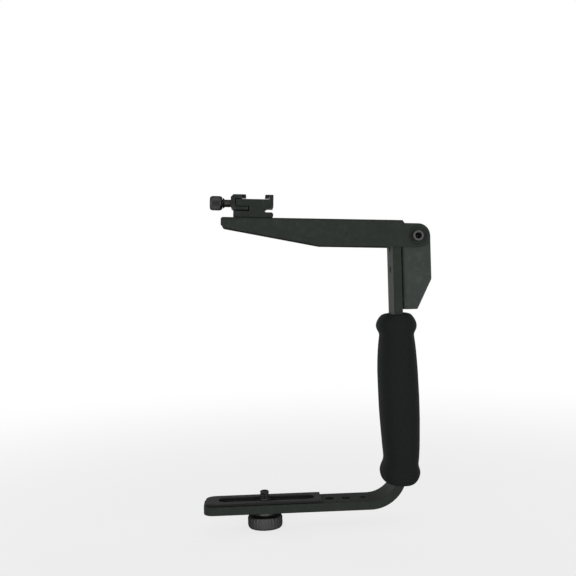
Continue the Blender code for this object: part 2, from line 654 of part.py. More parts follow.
def grip_sleeve(parent, finish):
    """The foam sleeve: oval rings along the post, with a bulge at each end, and the bar's space left out."""
    shape = bmesh.new()
    rows = []
    power = 2 / GRIP_SQUARENESS
    for along, deep_share in GRIP_PROFILE_SHARES:
        middle_x, middle_z, lean = grip_line(along)
        deep = GRIP_HALF_DEPTH * deep_share
        wide = GRIP_HALF_WIDTH * (1 - GRIP_WIDTH_CHANGE_SHARE * (1 - deep_share))
        row = []
        for step in range(GRIP_STEPS):
            angle = 2 * pi * step / GRIP_STEPS
            across = deep * rounded(cos(angle), power)
            out = wide * rounded(sin(angle), power)
            row.append(shape.verts.new((middle_x + across * cos(lean), out, middle_z - across * sin(lean))))
        rows.append(row)
    for upper, lower in zip(rows, rows[1:]):
        for step in range(GRIP_STEPS):
            after = (step + 1) % GRIP_STEPS
            shape.faces.new((upper[step], upper[after], lower[after], lower[step]))
    shape.faces.new(rows[0])
    shape.faces.new(rows[-1])
    sleeve = dressed(object_of("grip_sleeve", shape, parent), finish)
    room = BAR_HALF + SEAT_GAP
    core = prism(bar_outline(SEAT_GAP), "Y", -room, room)
    return shaped_by(sleeve, object_of("grip_core_cutter", core, parent))


def camera_pad(parent, finish):
    """The thin rubber pad under the camera, slotted wide enough for the screw's clip."""
    half = BAR_HALF - PAD_SIDE_MARGIN - BAR_EDGE_BREAK
    left = -BASE_REACH + PAD_END_MARGIN
    radius = BASE_CORNER_RADIUS
    outline = arc((left + radius, half - radius), radius, pi / 2, pi, CORNER_STEPS)
    outline += arc((left + radius, radius - half), radius, pi, 3 * pi / 2, CORNER_STEPS)
    outline += [(PAD_RIGHT_REACH, -half), (PAD_RIGHT_REACH, half)]
    low = SEAT_GAP
    high = low + PAD_THICKNESS
    pad = dressed(object_of("camera_pad", prism(outline, "Z", low, high), parent), finish)
    reach = PAD_SLOT_HALF - SLOT_HALF
    opening = stadium(-SLOT_LEFT_REACH - reach, SLOT_RIGHT_REACH + reach, PAD_SLOT_HALF, CORNER_STEPS * 2)
    slot = prism(opening, "Z", low - CUT_OVERRUN, high + CUT_OVERRUN)
    return shaped_by(pad, object_of("pad_slot_cutter", slot, parent))


def shoe_block(parent, finish):
    """The fixed half of the shoe: foot flange, channel floor, right lip, notch and the jaw's slot."""
    slot_low = BLOCK_FOOT_HEIGHT
    slot_high = TONGUE_TOP + RUNNING_GAP
    slot_end = -TONGUE_RIGHT + TONGUE_END_CLEARANCE
    notch_mid = (NOTCH_LOW + NOTCH_HIGH) / 2
    base = SEAT_GAP
    outline = [
        (-BLOCK_LEFT, base), (BLOCK_RIGHT - BLOCK_FOOT_CHAMFER, base),
        (BLOCK_RIGHT, base + BLOCK_FOOT_CHAMFER), (BLOCK_RIGHT, NOTCH_LOW - BLOCK_FOOT_CHAMFER),
        (BLOCK_RIGHT - BLOCK_FOOT_CHAMFER, NOTCH_LOW), (NOTCH_INNER + NOTCH_SLOPE, NOTCH_LOW),
        (NOTCH_INNER, notch_mid), (NOTCH_INNER + 2 * NOTCH_SLOPE, NOTCH_HIGH), (BLOCK_RIGHT, NOTCH_HIGH),
        (BLOCK_RIGHT, LIP_TOP), (SHOE_MOUTH / 2, LIP_TOP), (SHOE_MOUTH / 2, LIP_UNDER),
        (CHANNEL_HALF, LIP_UNDER), (CHANNEL_HALF, SHOE_FLOOR), (-BLOCK_BODY_LEFT, SHOE_FLOOR),
        (-BLOCK_BODY_LEFT, slot_high), (slot_end, slot_high), (slot_end, slot_low),
        (-BLOCK_LEFT, slot_low),
    ]
    raised = [(across, height + ARM_WEB_TOP) for across, height in outline]
    half = SHOE_DEPTH / 2
    block = dressed(object_of("shoe_block", prism(raised, "Y", -half, half), parent, (-SHOE_REACH, 0, 0)), finish)
    with_edge_break(block, SHOE_EDGE_BREAK)
    bore = rod(THUMB_THREAD_RADIUS + RUNNING_GAP, 0, BLOCK_LEFT)
    place = (-SHOE_REACH - BLOCK_LEFT, 0, ARM_WEB_TOP + THUMB_AXIS_HEIGHT)
    shaped_by(block, object_of("block_bore_cutter", bore, parent, place, (0, pi / 2, 0)))
    for number in (-1, 1):
        top = ARM_WEB_TOP + SHOE_SCREW_REACH + SEAT_GAP
        hole = rod(SHOE_SCREW_RADIUS + RUNNING_GAP, ARM_WEB_TOP - CUT_OVERRUN, top)
        place = (-SHOE_REACH, number * SHOE_SCREW_SPREAD, 0)
        shaped_by(block, object_of(f"block_tap_cutter_{number}", hole, parent, place))
    return block


def shoe_fixings(parent, steel):
    """The two screws that come up through the arm's web into the shoe block, and their washers."""
    washer_top = ARM_WEB_UNDER - SEAT_GAP
    head_seat = washer_top - SHOE_WASHER_THICKNESS - SEAT_GAP
    length = ARM_WEB_TOP + SHOE_SCREW_REACH - head_seat
    profile = cap_screw_profile(SHOE_SCREW_RADIUS, SHOE_SCREW_HEAD_RADIUS, SHOE_SCREW_HEAD_HEIGHT, length)
    for side, way in (("front", -1), ("rear", 1)):
        place = (-SHOE_REACH, way * SHOE_SCREW_SPREAD, head_seat - SHOE_SCREW_HEAD_HEIGHT)
        screw = dressed(object_of(f"shoe_screw_{side}", turned(profile), parent, place), steel)
        socket = hexagon(SMALL_SOCKET_ACROSS, -CUT_OVERRUN, SMALL_SOCKET_DEPTH)
        shaped_by(screw, object_of(f"shoe_socket_cutter_{side}", socket, parent, place))
        washer = ring(SHOE_SCREW_RADIUS + RUNNING_GAP, SHOE_WASHER_RADIUS, 0, SHOE_WASHER_THICKNESS)
        place = (-SHOE_REACH, way * SHOE_SCREW_SPREAD, washer_top - SHOE_WASHER_THICKNESS)
        dressed(object_of(f"shoe_screw_washer_{side}", washer, parent, place), steel)


def clamp_jaw(parent, finish):
    """The moving jaw: a wall with a lip over the flash foot and a tongue that slides in the block."""
    wall_right = -JAW_LEFT + JAW_WALL
    outline = [
        (-JAW_LEFT + JAW_CHAMFER, JAW_BOTTOM), (-TONGUE_RIGHT, JAW_BOTTOM),
        (-TONGUE_RIGHT, TONGUE_TOP), (wall_right, TONGUE_TOP), (wall_right, SHOE_FLOOR + SEAT_GAP),
        (-CHANNEL_HALF, SHOE_FLOOR + SEAT_GAP), (-CHANNEL_HALF, LIP_UNDER), (-SHOE_MOUTH / 2, LIP_UNDER),
        (-SHOE_MOUTH / 2, LIP_TOP), (-JAW_LEFT + JAW_CHAMFER, LIP_TOP), (-JAW_LEFT, LIP_TOP - JAW_CHAMFER),
        (-JAW_LEFT, JAW_BOTTOM + JAW_CHAMFER),
    ]
    axis_height = THUMB_AXIS_HEIGHT
    lowered = [(across, height - axis_height) for across, height in outline]
    half = SHOE_DEPTH / 2
    jaw = dressed(object_of("clamp_jaw", prism(lowered, "Y", -half, half), parent), finish)
    with_edge_break(jaw, SHOE_EDGE_BREAK)
    hole = rod(THUMB_THREAD_RADIUS + RUNNING_GAP, -CUT_OVERRUN, JAW_WALL + CUT_OVERRUN)
    shaped_by(jaw, object_of("jaw_hole_cutter", hole, parent, (-JAW_LEFT, 0, 0), (0, pi / 2, 0)))
    pocket_depth = CLIP_THICKNESS + 2 * SEAT_GAP
    pocket = rod(CLIP_RADIUS + RUNNING_GAP, 0, pocket_depth + CLIP_RELIEF)
    place = (wall_right - pocket_depth, 0, 0)
    shaped_by(jaw, object_of("jaw_pocket_cutter", pocket, parent, place, (0, pi / 2, 0)))
    return jaw


def thumbscrew(parent, steel):
    """The knurled thumbscrew, its shouldered stud and the clip that keeps the jaw on it."""
    along = (0, pi / 2, 0)
    head = knurled(
        [
            (THUMB_HEAD_RADIUS - THUMB_CHAMFER, -THUMB_HEAD_END, False),
            (THUMB_HEAD_RADIUS, -THUMB_HEAD_END + THUMB_CHAMFER, True),
            (THUMB_HEAD_RADIUS, -THUMB_HEAD_START - THUMB_CHAMFER, True),
            (THUMB_HEAD_RADIUS - THUMB_CHAMFER, -THUMB_HEAD_START, False),
        ],
        THUMB_TEETH,
        THUMB_KNURL_DEPTH,
    )
    knob = dressed(object_of("thumb_knob", head, parent, turn=along), steel)
    socket_depth = (THUMB_HEAD_END - THUMB_HEAD_START) / 2
    socket = rod(THUMB_SHANK_RADIUS + SEAT_GAP, -THUMB_HEAD_START - socket_depth, CUT_OVERRUN - THUMB_HEAD_START)
    shaped_by(knob, object_of("knob_socket_cutter", socket, parent, turn=along))
    shoulder = -JAW_LEFT - SEAT_GAP
    stud_start = SEAT_GAP - THUMB_HEAD_START - socket_depth
    collar_start = SEAT_GAP - THUMB_HEAD_START
    collar_end = -THUMB_HEAD_START + THUMB_COLLAR_LENGTH
    chamfer = THUMB_THREAD_RADIUS * TIP_CHAMFER_SHARE
    profile = [
        (0, stud_start), (THUMB_SHANK_RADIUS, stud_start), (THUMB_SHANK_RADIUS, collar_start),
        (THUMB_CONE_RADIUS, collar_start), (THUMB_COLLAR_RADIUS, collar_end), (THUMB_SHANK_RADIUS, collar_end),
        (THUMB_SHANK_RADIUS, shoulder), (THUMB_THREAD_RADIUS, shoulder),
        (THUMB_THREAD_RADIUS, -THUMB_TIP - chamfer), (THUMB_THREAD_RADIUS - chamfer, -THUMB_TIP), (0, -THUMB_TIP),
    ]
    dressed(object_of("thumb_stud", turned(profile), parent, turn=along), steel)
    clip_start = -JAW_LEFT + JAW_WALL - CLIP_THICKNESS - SEAT_GAP
    clip = ring(THUMB_THREAD_RADIUS + SEAT_GAP, CLIP_RADIUS, clip_start, clip_start + CLIP_THICKNESS)
    dressed(object_of("jaw_clip", clip, parent, turn=along), steel)


def camera_screw(slider, spinner, steel, nylon):
    """The camera screw with its knob and clip, and the washer that slides along the bar with it."""
    under_bar = -BAR_THICKNESS - SEAT_GAP
    washer = ring(
        STUD_RADIUS + RUNNING_GAP, CAMERA_WASHER_RADIUS, under_bar - CAMERA_WASHER_THICKNESS, under_bar
    )
    dressed(object_of("camera_screw_washer", washer, slider), nylon)
    top = under_bar - CAMERA_WASHER_THICKNESS - SEAT_GAP
    low = top - KNOB_NECK_HEIGHT - KNOB_HEIGHT
    body = knurled(
        [
            (KNOB_RADIUS - KNOB_CHAMFER, low, False),
            (KNOB_RADIUS, low + KNOB_CHAMFER, True),
            (KNOB_RADIUS, top - KNOB_NECK_HEIGHT - KNOB_CHAMFER, True),
            (KNOB_RADIUS - KNOB_CHAMFER, top - KNOB_NECK_HEIGHT, False),
            (KNOB_NECK_RADIUS, top - KNOB_NECK_HEIGHT, False),
            (KNOB_NECK_RADIUS, top, False),
        ],
        KNOB_TEETH,
        KNOB_KNURL_DEPTH,
    )
    knob = dressed(object_of("camera_knob", body, spinner), steel)
    root = low + KNOB_HEIGHT / 2
    shaped_by(knob, object_of("knob_bore_cutter", rod(STUD_RADIUS + SEAT_GAP, root, top + CUT_OVERRUN), spinner))
    half_slot = COIN_SLOT_WIDTH / 2
    reach = KNOB_RADIUS + CUT_OVERRUN
    groove = [(-reach, low - CUT_OVERRUN), (reach, low - CUT_OVERRUN), (reach, low + COIN_SLOT_DEPTH),
              (-reach, low + COIN_SLOT_DEPTH)]
    shaped_by(knob, object_of("coin_slot_cutter", prism(groove, "Y", -half_slot, half_slot), spinner))
    profile = [
        (0, root + SEAT_GAP), (STUD_RADIUS, root + SEAT_GAP), (STUD_RADIUS, STUD_TIP - STUD_CHAMFER),
        (STUD_RADIUS - STUD_CHAMFER, STUD_TIP), (0, STUD_TIP),
    ]
    dressed(object_of("camera_stud", turned(profile), spinner), steel)
    clip = ring(
        STUD_RADIUS + SEAT_GAP, CAMERA_CLIP_RADIUS, SEAT_GAP, SEAT_GAP + CAMERA_CLIP_THICKNESS
    )
    dressed(object_of("camera_screw_clip", clip, spinner), steel)


def main():
    """Builds the bracket, piece by piece, under the axes that its moving pieces turn or slide on."""
    clear_scene()
    black_paint = finish_of("black_paint", (0.030, 0.034, 0.033), 0.45, 0.0)
    charcoal_paint = finish_of("charcoal_paint", (0.042, 0.049, 0.047), 0.45, 0.0)
    black_alloy = finish_of("black_alloy", (0.033, 0.037, 0.036), 0.40, 0.3)
    black_foam = finish_of("black_foam", (0.012, 0.013, 0.012), 0.95, 0.0)
    black_rubber = finish_of("black_rubber", (0.018, 0.018, 0.018), 0.80, 0.0)
    dark_steel = finish_of("dark_steel", (0.090, 0.092, 0.095), 0.35, 1.0)
    nylon = finish_of("nylon", (0.55, 0.55, 0.52), 0.50, 0.0)

    bracket_zero = axis_empty("bracket_zero", place=(0, 0, -STUD_TIP))
    frame_bar(bracket_zero, black_paint)
    grip_sleeve(bracket_zero, black_foam)
    camera_pad(bracket_zero, black_rubber)
    pivot_bracket(bracket_zero, charcoal_paint)
    bracket_fixings(bracket_zero, dark_steel)
    pivot_stack(bracket_zero, dark_steel, nylon)

    arm_axis = axis_empty("arm_axis", bracket_zero, (PIVOT_X, 0, PIVOT_HEIGHT), (0, ARM_RISE, 0))
    flip_arm(arm_axis, black_paint)
    shoe_block(arm_axis, black_alloy)
    shoe_fixings(arm_axis, dark_steel)

    thumb_axis = axis_empty("thumb_axis", arm_axis, (-SHOE_REACH, 0, ARM_WEB_TOP + THUMB_AXIS_HEIGHT))
    clamp_jaw(thumb_axis, black_alloy)
    thumbscrew(thumb_axis, dark_steel)

    slot_axis = axis_empty("slot_axis", bracket_zero)
    spin_axis = axis_empty("camera_screw_axis", slot_axis)
    camera_screw(slot_axis, spin_axis, dark_steel, nylon)


main()
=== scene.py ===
"""The looks of a camera flash bracket: fine meshes, finishes, light and view.

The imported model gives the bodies, the joints and the box. Each sub-assembly is a class that
rebuilds its own pieces with softer edges in the same places, dresses them and fastens them to
the body that carries them.

Metres throughout. In the row frame +Z is up, +X runs from the lens to the grip and -Y is the
side that the lens faces.
"""

import json
import logging
from collections.abc import Callable, Iterable, Sequence
from dataclasses import dataclass, field
from enum import Enum
from math import atan2, ceil, copysign, cos, pi, radians, sin, sqrt
from typing import Any

import bmesh
import bpy
from mathutils import Matrix, Vector, noise


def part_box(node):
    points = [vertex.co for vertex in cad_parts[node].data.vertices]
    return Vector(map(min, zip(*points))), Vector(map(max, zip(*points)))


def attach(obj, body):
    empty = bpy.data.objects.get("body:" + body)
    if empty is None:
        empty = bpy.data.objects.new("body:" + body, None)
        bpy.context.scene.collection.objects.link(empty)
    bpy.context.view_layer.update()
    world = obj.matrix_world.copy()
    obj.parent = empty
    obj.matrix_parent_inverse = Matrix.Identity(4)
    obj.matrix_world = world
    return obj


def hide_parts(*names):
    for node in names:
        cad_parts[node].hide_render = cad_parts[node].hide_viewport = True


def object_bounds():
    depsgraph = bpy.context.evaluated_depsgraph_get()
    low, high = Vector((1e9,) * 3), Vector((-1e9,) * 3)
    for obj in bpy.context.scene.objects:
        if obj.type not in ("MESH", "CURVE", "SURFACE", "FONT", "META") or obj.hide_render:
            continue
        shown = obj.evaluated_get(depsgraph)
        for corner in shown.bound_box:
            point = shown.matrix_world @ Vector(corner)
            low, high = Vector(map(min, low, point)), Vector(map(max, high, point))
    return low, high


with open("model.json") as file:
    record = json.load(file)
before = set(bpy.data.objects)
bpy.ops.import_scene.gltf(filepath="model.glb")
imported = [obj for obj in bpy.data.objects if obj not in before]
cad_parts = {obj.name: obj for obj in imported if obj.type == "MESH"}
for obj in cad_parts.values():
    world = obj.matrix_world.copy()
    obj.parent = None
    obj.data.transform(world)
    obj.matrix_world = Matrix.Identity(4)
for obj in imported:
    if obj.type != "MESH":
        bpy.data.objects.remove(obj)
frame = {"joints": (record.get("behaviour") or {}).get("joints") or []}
CAD_BOX = [list(corner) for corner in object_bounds()]

LOG = logging.getLogger("flash bracket")
QUARTER_TURN = pi / 2
FULL_TURN = 2 * pi
TINY = 1e-9

# The gap is the air between neighbours, and the overrun is how far a cutter reaches past its cut.
GAP = 0.0003
OVERRUN = 0.002

# An edge belongs to a bar's end where it is this near it and this much along an axis.
NEAR = 0.001
ALIGNED = 0.9

# Edges over the sharp angle are rounded and shaded as edges, and those under the flat one merge.
SHARP_ANGLE = radians(35)
FLAT_ANGLE = radians(0.5)

FOLD_STEPS = 8
KNOB_STEPS = 4
POINTS_A_RIDGE = 4
THREAD_ROWS_A_TURN = 6
THREAD_DEPTH_SHARE = 0.54

Point = tuple[float, float]
Place = tuple[float, float, float]
Radius = float | Callable[[float], float]
Row = tuple[Radius, float]
Colour = tuple[float, float, float]


class Body(Enum):
    """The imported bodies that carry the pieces."""

    FRAME = "frame"
    ARM = "arm"
    JAW = "jaw"
    THUMBSCREW = "thumbscrew"
    CAMERA_SLIDER = "camera_slider"
    CAMERA_SCREW = "camera_screw"


class Slot(Enum):
    """The record's material slots."""

    BLACK_PAINT = "black_paint"
    CHARCOAL_PAINT = "charcoal_paint"
    BLACK_ALLOY = "black_alloy"
    BLACK_FOAM = "black_foam"
    BLACK_RUBBER = "black_rubber"
    DARK_STEEL = "dark_steel"
    NYLON = "nylon"


class Join(Enum):
    """Ways to combine two closed forms."""

    CUT = "DIFFERENCE"
    ADD = "UNION"
    KEEP = "INTERSECT"


class Axis(Enum):
    """The axis that an outline is pushed along."""

    X = "X"
    Y = "Y"
    Z = "Z"

    def point(self, first: float, second: float, along: float) -> Vector:
        """A point from an outline's two numbers and its place along the axis.

        Args:
            first: The outline's first number.
            second: The outline's second number.
            along: The place along the axis.

        Returns:
            The point.
        """
        if self is Axis.X:
            return Vector((along, first, second))
        if self is Axis.Y:
            return Vector((first, along, second))
        return Vector((first, second, along))


def arc(centre: Point, radius: float, start: float, end: float, steps: int) -> list[Point]:
    """Points along an arc, both ends included.

    Args:
        centre: Middle of the arc.
        radius: Its radius.
        start: Angle of the first point.
        end: Angle of the last point.
        steps: Straight stretches between them.

    Returns:
        The points in order.
    """
    angles = [start + (end - start) * step / steps for step in range(steps + 1)]
    return [(centre[0] + radius * cos(angle), centre[1] + radius * sin(angle)) for angle in angles]


def quarter_angles(steps: int) -> list[float]:
    """Angles from 0 to a quarter turn, both included."""
    return [QUARTER_TURN * step / steps for step in range(steps + 1)]


def stadium(left: float, right: float, radius: float, steps: int = 16) -> list[Point]:
    """Outline of a slot with round ends.

    Args:
        left: Middle of its left end.
        right: Middle of its right end.
        radius: Radius of both ends.
        steps: Straight stretches in each end.

    Returns:
        The outline.
    """
    outline = arc((right, 0), radius, -QUARTER_TURN, QUARTER_TURN, steps)
    return outline + arc((left, 0), radius, QUARTER_TURN, 3 * QUARTER_TURN, steps)


def rectangle(left: float, right: float, low: float, high: float) -> list[Point]:
    """Outline of a rectangle."""
    return [(left, low), (right, low), (right, high), (left, high)]


def chamfered(inner: float, outer: float, low: float, high: float, edge: float) -> list[Point]:
    """Section of a ring with a chamfer at each corner.

    Args:
        inner: Bore radius.
        outer: Outside radius.
        low: Height of its lower face.
        high: Height of its upper face.
        edge: Size of the chamfers.

    Returns:
        Pairs of radius and height.
    """
    return [
        (inner + edge, low), (outer - edge, low), (outer, low + edge), (outer, high - edge),
        (outer - edge, high), (inner + edge, high), (inner, high - edge), (inner, low + edge),
    ]


def radius_at(radius: Radius, angle: float) -> float:
    """A radius that may vary with the angle, at one angle."""
    return radius(angle) if callable(radius) else radius


def knurl(radius: float, depth: float, teeth: int) -> Callable[[float], float]:
    """A radius with straight rounded ridges.

    Args:
        radius: Radius over the ridges.
        depth: Depth of the grooves.
        teeth: Number of ridges.

    Returns:
        The radius as a function of the angle.
    """
    return lambda angle: radius - depth * (1 - abs(cos(teeth * angle / 2)))


def threaded(crest: float, depth: float, turns: float) -> Callable[[float], float]:
    """The radius at one height of a thread, after a number of turns, as a function of the angle."""
    return lambda angle: crest - depth * abs(2 * ((turns - angle / FULL_TURN) % 1) - 1)


def thread_rows(crest: float, pitch: float, low: float, high: float, tip: float) -> list[Row]:
    """Profile rows of a right-hand thread, with its first and last half turn run out.

    Args:
        crest: Radius over the thread.
        pitch: Rise of one turn.
        low: Height where it starts.
        high: Height where it ends.
        tip: Height of the screw's tip, which is as thin as the thread's root.

    Returns:
        Pairs of radius and height for Form.spun.
    """
    depth = pitch * THREAD_DEPTH_SHARE
    count = ceil((high - low) / pitch * THREAD_ROWS_A_TURN)
    rows: list[Row] = []
    for row in range(count + 1):
        height = low + (high - low) * row / count
        fade = min(1.0, 2 * (height - low) / pitch, 2 * (high - height) / pitch)
        rows.append((threaded(crest, depth * fade, height / pitch), height))
    return rows + [(crest - depth, tip)]


def round_edge(radius: float, height: float, size: float, rising: bool, steps: int = 3) -> list[Row]:
    """Profile rows of a rounded outer edge on a turned form.

    Args:
        radius: Radius beyond the edge.
        height: Height of the flat face.
        size: Radius of the rounding.
        rising: True where the profile comes up off the flat face.
        steps: Straight stretches in the rounding.

    Returns:
        Pairs of radius and height.
    """
    way = 1 if rising else -1
    rows: list[Row] = [
        (radius - size + size * sin(angle), height + way * (size - size * cos(angle)))
        for angle in quarter_angles(steps)
    ]
    return rows if rising else rows[::-1]


def knob_rows(radius: float, depth: float, teeth: int, ends: Point, chamfer: float, lead: float) -> list[Row]:
    """Profile rows of a knurled knob with rounded ends.

    Args:
        radius: Radius over the ridges.
        depth: Depth of the grooves.
        teeth: Number of ridges.
        ends: Heights of its two faces.
        chamfer: Radius of its edges.
        lead: Smooth run between an edge and the full ridges.

    Returns:
        Pairs of radius and height.
    """
    low, high = ends
    ridged = knurl(radius, depth, teeth)
    rows = round_edge(radius - depth, low, chamfer, rising=True, steps=KNOB_STEPS)
    rows += [(ridged, low + chamfer + lead), (ridged, high - chamfer - lead)]
    return rows + round_edge(radius - depth, high, chamfer, rising=False, steps=KNOB_STEPS)


class Form:
    """A closed mesh while it is being shaped."""

    OPEN_RING_EDGE_SHARE = 0.08
    OPEN_RING_STEPS = 44

    def __init__(self, shape: bmesh.types.BMesh) -> None:
        """Takes over a mesh."""
        self.shape = shape

    @classmethod
    def lofted(cls, rings: Sequence[Sequence[Sequence[float]]], looped: bool = False) -> "Form":
        """Skins a row of rings that have the same number of points.

        Args:
            rings: The rings in order.
            looped: True to join the last ring to the first, and False to cap both.

        Returns:
            The closed form.
        """
        shape = bmesh.new()
        rows = [[shape.verts.new(point) for point in ring] for ring in rings]
        pairs = list(zip(rows, rows[1:]))
        if looped:
            pairs.append((rows[-1], rows[0]))
        else:
            shape.faces.new(rows[0])
            shape.faces.new(rows[-1])
        for near, far in pairs:
            for step in range(len(near)):
                after = (step + 1) % len(near)
                shape.faces.new((near[step], near[after], far[after], far[step]))
        bmesh.ops.recalc_face_normals(shape, faces=shape.faces[:])
        return cls(shape)

    @classmethod
    def prism(cls, outline: Sequence[Point], axis: Axis, low: float, high: float) -> "Form":
        """A flat outline pushed along an axis from low to high."""
        return cls.lofted([[axis.point(*pair, along) for pair in outline] for along in (low, high)])

    @classmethod
    def spun(cls, profile: Sequence[Row], count: int = 48, looped: bool = False) -> "Form":
        """A profile turned about Z.

        Args:
            profile: Pairs of radius and height. A radius may be a function of the angle.
            count: Points around the axis.
            looped: True where the profile is closed, as a ring's is.

        Returns:
            The closed form.
        """
        angles = [FULL_TURN * step / count for step in range(count)]
        rings = [
            [(radius_at(radius, a) * cos(a), radius_at(radius, a) * sin(a), height) for a in angles]
            for radius, height in profile
        ]
        return cls.lofted(rings, looped)

    @classmethod
    def ring(cls, inner: float, outer: float, low: float, high: float, edge: float) -> "Form":
        """A washer or tube with small chamfers."""
        return cls.spun(chamfered(inner, outer, low, high, edge), looped=True)

    @classmethod
    def open_ring(cls, inner: float, outer: float, low: float, high: float, gap: float) -> "Form":
        """A ring with an opening, such as a spring washer or a clip.

        Args:
            inner: Bore radius.
            outer: Outside radius.
            low: Height of its lower face.
            high: Height of its upper face.
            gap: Angle of the opening.

        Returns:
            The open ring.
        """
        section = chamfered(inner, outer, low, high, (outer - inner) * cls.OPEN_RING_EDGE_SHARE)
        steps = cls.OPEN_RING_STEPS
        angles = [gap / 2 + (FULL_TURN - gap) * step / steps for step in range(steps + 1)]
        return cls.lofted([[(r * cos(a), r * sin(a), height) for r, height in section] for a in angles])

    @classmethod
    def hexagon(cls, across: float, low: float, high: float) -> "Form":
        """A six-sided bar of a size across its flats."""
        return cls.prism(arc((0, 0), across / sqrt(3), 0, FULL_TURN, 6)[:-1], Axis.Z, low, high)

    @classmethod
    def through_hole(cls, radius: float, low: float, high: float, rim: float) -> "Form":
        """A cutter for a round hole through a plate, with a chamfer at both faces.

        Args:
            radius: The hole's radius.
            low: Height of one face.
            high: Height of the other face.
            rim: Size of the chamfers.

        Returns:
            The cutter, along Z.
        """
        flared = radius + rim + OVERRUN
        return cls.spun([
            (flared, low - OVERRUN), (radius, low + rim), (radius, high - rim), (flared, high + OVERRUN)
        ])

    @classmethod
    def bore(
        cls, radius: float, low: float, high: float, place: Matrix = Matrix.Identity(4), count: int = 48
    ) -> "Form":
        """A plain round cutter along the Z of its place."""
        return cls.spun([(radius, low), (radius, high)], count=count).moved(place)

    def moved(self, place: Matrix) -> "Form":
        """Moves and turns the form."""
        self.shape.transform(place)
        return self

    def softened(
        self, width: float, steps: int = 2, chosen: Callable[[Vector, Vector], bool] | None = None
    ) -> "Form":
        """Rounds the sharp edges.

        Args:
            width: Size of the rounding.
            steps: Straight stretches in it.
            chosen: Says from an edge's middle and direction whether it is rounded.

        Returns:
            The same form.
        """
        edges = []
        for edge in self.shape.edges:
            if len(edge.link_faces) != 2 or edge.calc_face_angle() < SHARP_ANGLE:
                continue
            first, last = (vertex.co for vertex in edge.verts)
            if chosen is None or chosen((first + last) / 2, (last - first).normalized()):
                edges.append(edge)
        bmesh.ops.bevel(
            self.shape, geom=edges, offset=width, segments=steps, profile=0.5,
            affect="EDGES", clamp_overlap=False,
        )
        return self

    def joined(self, join: Join, *others: "Form") -> "Form":
        """Combines the form with others by exact Booleans and merges flat neighbours.

        Args:
            join: The way to combine them.
            others: The other forms, which are used up.

        Returns:
            The same form.
        """
        made = self.as_object("form")
        helpers = [other.as_object("helper") for other in others]
        for helper in helpers:
            step = made.modifiers.new(helper.name, "BOOLEAN")
            step.operation = join.value
            step.solver = "EXACT"
            step.object = helper
        self._take_back(made, helpers)
        bmesh.ops.dissolve_limit(
            self.shape, angle_limit=FLAT_ANGLE, verts=self.shape.verts[:], edges=self.shape.edges[:]
        )
        return self

    def rounded_out(self, levels: int) -> "Form":
        """Subdivides the form into a smooth skin.

        Args:
            levels: How many times each face is divided.

        Returns:
            The form.
        """
        made = self.as_object("form")
        step = made.modifiers.new("skin", "SUBSURF")
        step.levels = levels
        self._take_back(made, [])
        return self

    def _take_back(self, made: bpy.types.Object, helpers: Iterable[bpy.types.Object]) -> None:
        """Reads an object's modified mesh back into the form and clears what was used.

        Args:
            made: The object with its modifiers.
            helpers: Other objects to clear.
        """
        self.shape = bmesh.new()
        self.shape.from_object(made, bpy.context.evaluated_depsgraph_get())
        for thing in (made, *helpers):
            mesh = thing.data
            bpy.data.objects.remove(thing)
            bpy.data.meshes.remove(mesh)

    def as_object(self, name: str) -> bpy.types.Object:
        """Turns the form into an object, which uses it up.

        Args:
            name: The object's name.

        Returns:
            The object, linked to the scene.
        """
        mesh = bpy.data.meshes.new(name)
        self.shape.to_mesh(mesh)
        self.shape.free()
        made = bpy.data.objects.new(name, mesh)
        bpy.context.scene.collection.objects.link(made)
        return made


